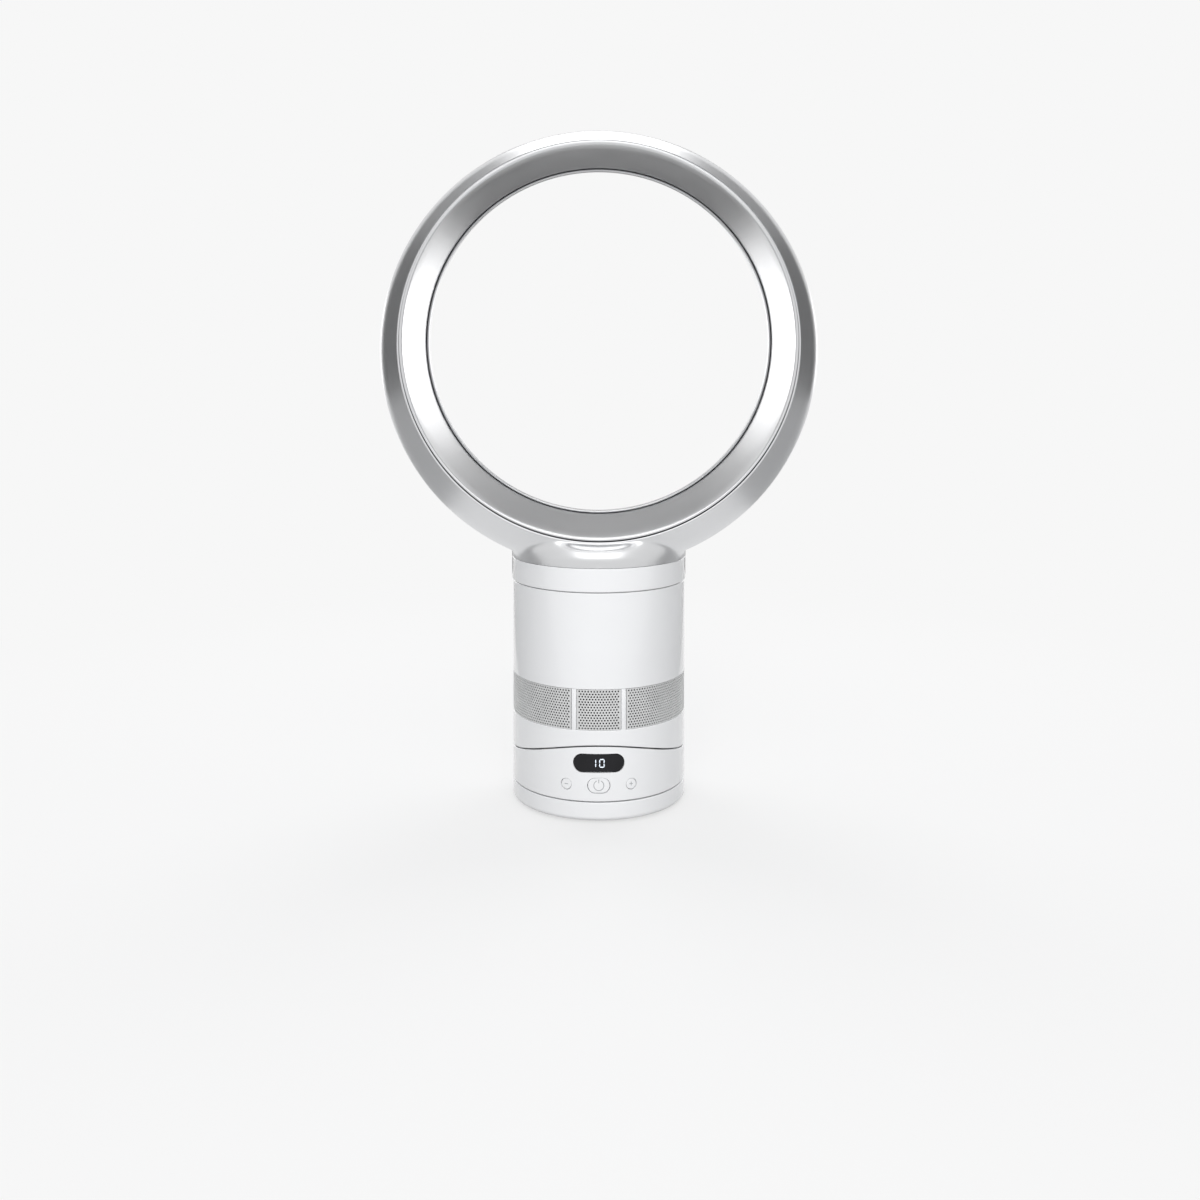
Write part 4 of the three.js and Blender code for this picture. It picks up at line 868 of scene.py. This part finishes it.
def loop_skin():
    """The outer surface: rays from the core of the loop's section end on the section or on the
    neck, whichever is further, with a soft blend where they meet."""
    away = outline - core
    own = np.linalg.norm(away, axis=1)
    aim = away / own[:, None]
    steps = np.arange(0, ray_length, ray_step)
    end = np.zeros((len(turns), len(outline)))
    for i, turn in enumerate(turns):
        if abs(turn) > neck_turn:
            end[i] = missed
            continue
        radius = core[0] + aim[:, 0, None] * steps
        depth = core[1] + aim[:, 1, None] * steps
        for j, row in enumerate(outside_neck(*on_loop(radius, depth, turn))):
            at = int(own[j] / ray_step)
            if row[at] < 0:
                gone = np.nonzero(row[at:] > 0)[0]
                k = at + gone[0] if len(gone) else len(steps) - 1
            else:
                held = np.nonzero(row[:at] < 0)[0]
                if not len(held):
                    end[i, j] = missed
                    continue
                k = held[-1] + 1
            a, b = row[k - 1], row[k]
            end[i, j] = steps[k - 1] + ray_step * (a / (a - b) if a < 0 < b else 0.5)
    meeting = np.clip(blend - np.abs(end - own), 0, None) / blend
    reach = np.maximum(end, own) + meeting ** 2 * blend / 4
    keep = eased(travel, tip, tip + 4) * (1 - eased(travel, roll - 3, roll + 7))
    reach = own + (reach - own) * keep
    radius = core[0] + aim[:, 0] * reach
    depth = core[1] + aim[:, 1] * reach
    points = np.stack(on_loop(radius, depth, turns[:, None]), 2)
    loose = np.exp(-((end - own) / eased_reach) ** 2) * keep
    loose = loose * eased(points[:, :, 2], 172.2, 176)
    loose = np.maximum(loose, np.maximum(np.roll(loose, 1, 0), np.roll(loose, -1, 0)))
    loose = loose[:, 1:-1, None]
    for _ in range(eased_passes):
        sides = (np.roll(points, 1, 0) + np.roll(points, -1, 0))[:, 1:-1]
        mean = (sides + points[:, 2:] + points[:, :-2]) / 4
        points[:, 1:-1] += eased_share * loose * (mean - points[:, 1:-1])
    return points


skin = loop_skin()


def skin_piece(name, low, high, wall):
    """The part of the skin between two depths, above the collar, with a wall behind it."""
    rows, count = skin.shape[:2]
    shape = bmesh.new()
    made = [shape.verts.new(p * mm) for p in skin.reshape(-1, 3)]
    for i in range(rows):
        for j in range(count - 1):
            k = (i + 1) % rows
            shape.faces.new([made[i * count + j], made[i * count + j + 1],
                             made[k * count + j + 1], made[k * count + j]])
    for point, outwards in (((0, 0, neck_bottom), (0, 0, -1)), ((0, low, 0), (0, -1, 0)),
                            ((0, high, 0), (0, 1, 0))):
        geometry = shape.verts[:] + shape.edges[:] + shape.faces[:]
        bmesh.ops.bisect_plane(shape, geom=geometry, plane_co=np.array(point) * mm,
                               plane_no=outwards, clear_outer=True, dist=1e-7)
    piece = built(name, shape)
    thick = piece.modifiers.new("thick", "SOLIDIFY")
    thick.thickness, thick.offset, thick.use_even_offset = wall * mm, -1, True
    return made_plain(piece)


front_casing = skin_piece("loop_front", -200, seam, front_wall)
fitted(front_casing, silver_paint, "nozzle", "loop_silver", "nozzle_front_casing", crease=50)
rear_casing = skin_piece("loop_rear", seam + seam_gap, 200, rear_wall)
fitted(rear_casing, silver_paint, "nozzle", "loop_silver", "nozzle_rear_casing", crease=50)

# ---- Loop bore ----
# The third silver moulding closes the inside of the loop: a long shallow funnel with a curl at
# the rear, which the jet of air follows as it leaves the slot behind the lip.

bore_outline = [(134.7, -49.2), (134.5, -48.4), (133.2, -33), (132.05, -18), (131.05, -4),
                (130.2, 8), (129.4, 18), (128.9, 25), (128.85, 30),
                *bow(136.2, 34, 7.35, 180, 112, 10), (134.4, 39.6),
                *bow(136.5, 34, 5, 118, 180, 6), (131.3, 26), (131.6, 12), (133.6, -12),
                (136.65, -44), (136.65, -49.5), (136.5, -49.72), (135.95, -49.84),
                (135.15, -49.62)]
bore = turned("loop_bore", [(r, y, 0) for r, y in bore_outline], silver_paint, 288)
rearward(bore, bore_level)
fitted(bore, silver_paint, "nozzle", "loop_silver", "nozzle_inner_casing", crease=50)

# ---- Works inside ----
# Everything that the casings hide keeps its CAD shape: the swing drive and its boards in the
# base, and the bell, housing, motor and impeller in the body, each in its own finish.

foam = moulded("open_foam", (0.075, 0.08, 0.085), 0.95, mottle=0.35, mottle_scale=900, grain=1.0,
               grain_scale=1400, depth=0.0004)
circuit = moulded("solder_mask", (0.012, 0.10, 0.042), 0.35, coat=0.4, mottle=0.25,
                  mottle_scale=400, grain=0.2)
brass = moulded("sintered_brass", (0.66, 0.46, 0.16), 0.36, 1.0, mottle=0.08, mottle_scale=200)
laminated = moulded("laminated_steel", (0.42, 0.43, 0.45), 0.42, 1.0, mottle=0.2,
                    mottle_scale=600, grain=0.5, grain_scale=2500, stretch=(0.02, 0.02, 1))
dress(steel, "ballast_plate", "swivel_retainer", "tilt_retainer", "bearing_lower",
      "bearing_upper", "swing_motor", "motor_rotor")
dress(laminated, "motor_stator")
dress(nylon, "ring_gear", "thrust_washer", "swivel_hub", "glide_strip_left", "glide_strip_right")
dress(grey_plastic, "control_base_floor", "inlet_bell", "impeller_housing")
dress(dark_plastic, "motor_bucket_lower", "motor_bucket_upper", "impeller", "impeller_shroud")
dress(rubber, "housing_seal", "motor_mount_ring", "nozzle_seal")
dress(foam, "foam_disc", "foam_ring")
dress(circuit, "display_board", "switch_board", "control_board")
dress(brass, "swing_pinion")

# ---- Studio ----
# A pale floor and room, lamps behind, above and in front of the fan, and dim cards that only its
# bright surfaces mirror. A level camera looks on from the front.

backdrop_level = 0.93
card_colour, card_bounce = (0.8, 0.8, 0.8), 0.35
shadow_share, shadow_start, shadow_end = 0.65, 0.12, 0.8
room_colour, room_strength = (0.95, 0.97, 1.0), 0.32


def shown_to(tree, path):
    """The rays that see the even background: the camera's own, mirrored and passed ones."""
    either = added(tree, "ShaderNodeMath", {
        0: path["Is Camera Ray"], 1: path["Is Glossy Ray"]}, operation="MAXIMUM")
    return added(tree, "ShaderNodeMath", {
        0: either.outputs["Value"], 1: path["Is Transmission Ray"]},
        operation="MAXIMUM").outputs["Value"]


floor_card = bpy.data.materials.new("floor_card")
floor_card.use_nodes = True
ground = floor_card.node_tree
ground.nodes.clear()
path = added(ground, "ShaderNodeLightPath").outputs
tone = added(ground, "ShaderNodeMix", {
    "Factor": path["Is Diffuse Ray"], "A": (*card_colour, 1),
    "B": (*[c * card_bounce for c in card_colour], 1)}, data_type="RGBA")
card = added(ground, "ShaderNodeBsdfDiffuse", {"Color": tone.outputs["Result"]})
even_light = added(ground, "ShaderNodeEmission", {"Color": (*[backdrop_level] * 3, 1)})
where = added(ground, "ShaderNodeTexCoord")
distance = added(ground, "ShaderNodeVectorMath", {0: where.outputs["Object"]},
                 operation="LENGTH")
fade = added(ground, "ShaderNodeMapRange", {
    "Value": distance.outputs["Value"], "From Min": shadow_start, "From Max": shadow_end,
    "To Min": shadow_share, "To Max": 1.0}, interpolation_type="SMOOTHSTEP")
seen = added(ground, "ShaderNodeMath", {
    0: fade.outputs["Result"], 1: shown_to(ground, path)}, operation="MULTIPLY")
mix = added(ground, "ShaderNodeMixShader", {
    "Fac": seen.outputs["Value"], 1: card.outputs["BSDF"], 2: even_light.outputs["Emission"]})
added(ground, "ShaderNodeOutputMaterial", {"Surface": mix.outputs["Shader"]})

floor_mesh = bpy.data.meshes.new("floor")
far = 30
floor_mesh.from_pydata([(-far, -far, 0), (far, -far, 0), (far, far, 0), (-far, far, 0)], [],
                       [(0, 1, 2, 3)])
floor = in_scene("floor", floor_mesh)
floor_mesh.materials.append(floor_card)

world = bpy.data.worlds.new("studio")
bpy.context.scene.world = world
world.use_nodes = True
sky = world.node_tree
sky.nodes.clear()
room = added(sky, "ShaderNodeBackground", {"Color": (*room_colour, 1), "Strength": room_strength})
backdrop = added(sky, "ShaderNodeBackground", {"Color": (*[backdrop_level] * 3, 1)})
choice = added(sky, "ShaderNodeMixShader", {
    "Fac": shown_to(sky, added(sky, "ShaderNodeLightPath").outputs),
    1: room.outputs["Background"], 2: backdrop.outputs["Background"]})
added(sky, "ShaderNodeOutputWorld", {"Surface": choice.outputs["Shader"]})


def lamp(name, place, aim, width, height, power):
    light = bpy.data.lights.new(name, "AREA")
    light.shape = "RECTANGLE"
    light.size, light.size_y = width, height
    light.energy = power
    made = bpy.data.objects.new(name, light)
    bpy.context.scene.collection.objects.link(made)
    made.location = place
    made.rotation_euler = (Vector(aim) - Vector(place)).to_track_quat("-Z", "Y").to_euler()
    made.visible_camera = False
    return made


lamp("edge_left", (-0.62, 1.35, 0.34), (-0.2, 0, 0.34), 0.84, 0.34, 1.2)
lamp("edge_right", (0.62, 1.35, 0.34), (0.2, 0, 0.34), 0.84, 0.34, 1.2)
lamp("overhead", (0, 0.75, 1.9), (0, 0.2, 0.2), 1.2, 2.2, 11)
lamp("front_high", (0, -1.5, 1.7), (0, 0, 0.2), 2.0, 1.6, 13)
for name, place, power in (("front", (0, -2.2, 0.7), 36), ("rear_left", (-1.2, 1.35, 0.7), 18),
                           ("rear_right", (1.2, 1.35, 0.7), 18)):
    lamp(name, place, (0, 0, 0.2), 1.2, 1.2, power).visible_glossy = False


def dark_card(name, corners, share):
    """A dim card out of the picture, that only the bright surfaces mirror."""
    mesh = bpy.data.meshes.new(name)
    mesh.from_pydata(corners, [], [(0, 1, 2, 3)])
    mesh.materials.append(moulded(name, (share, share, share), 0.9))
    card = in_scene(name, mesh)
    card.visible_camera = card.visible_diffuse = card.visible_shadow = False


for side in (-1, 1):
    for name, (x, z), (end_x, end_z), (front_y, rear_y), share in (
            ("side_card", (1.15, 0.02), (1.15, 1.0), (-0.15, 0.9), 0.16),
            ("high_card", (1.15, 1.0), (0.7, 1.65), (-0.15, 0.9), 0.33),
            ("low_card", (1.15, 0.004), (0.3, 0.004), (-0.3, 0.8), 0.4)):
        dark_card(f"{name}_{side}", [
            (x * side, front_y, z), (x * side, rear_y, z), (end_x * side, rear_y, end_z),
            (end_x * side, front_y, end_z)], share)
dark_card("rear_card", [(-0.4, 0.85, 0.004), (0.4, 0.85, 0.004), (0.5, 3.2, 0.004),
                        (-0.5, 3.2, 0.004)], 0.03)
dark_card("rear_high_card", [(-0.4, 1.5, 0.5), (0.4, 1.5, 0.5), (0.4, 1.5, 1.25),
                             (-0.4, 1.5, 1.25)], 0.2)

camera = bpy.data.cameras.new("camera")
camera.lens, camera.sensor_width = 39.12, 36
camera.shift_x, camera.shift_y = 0.001, -0.2158
eye = bpy.data.objects.new("camera", camera)
bpy.context.scene.collection.objects.link(eye)
eye.location = (0, -0.94, 0.325)
eye.rotation_euler = (math.radians(90), 0, 0)
bpy.context.scene.camera = eye
bpy.context.scene.view_settings.view_transform = "Standard"
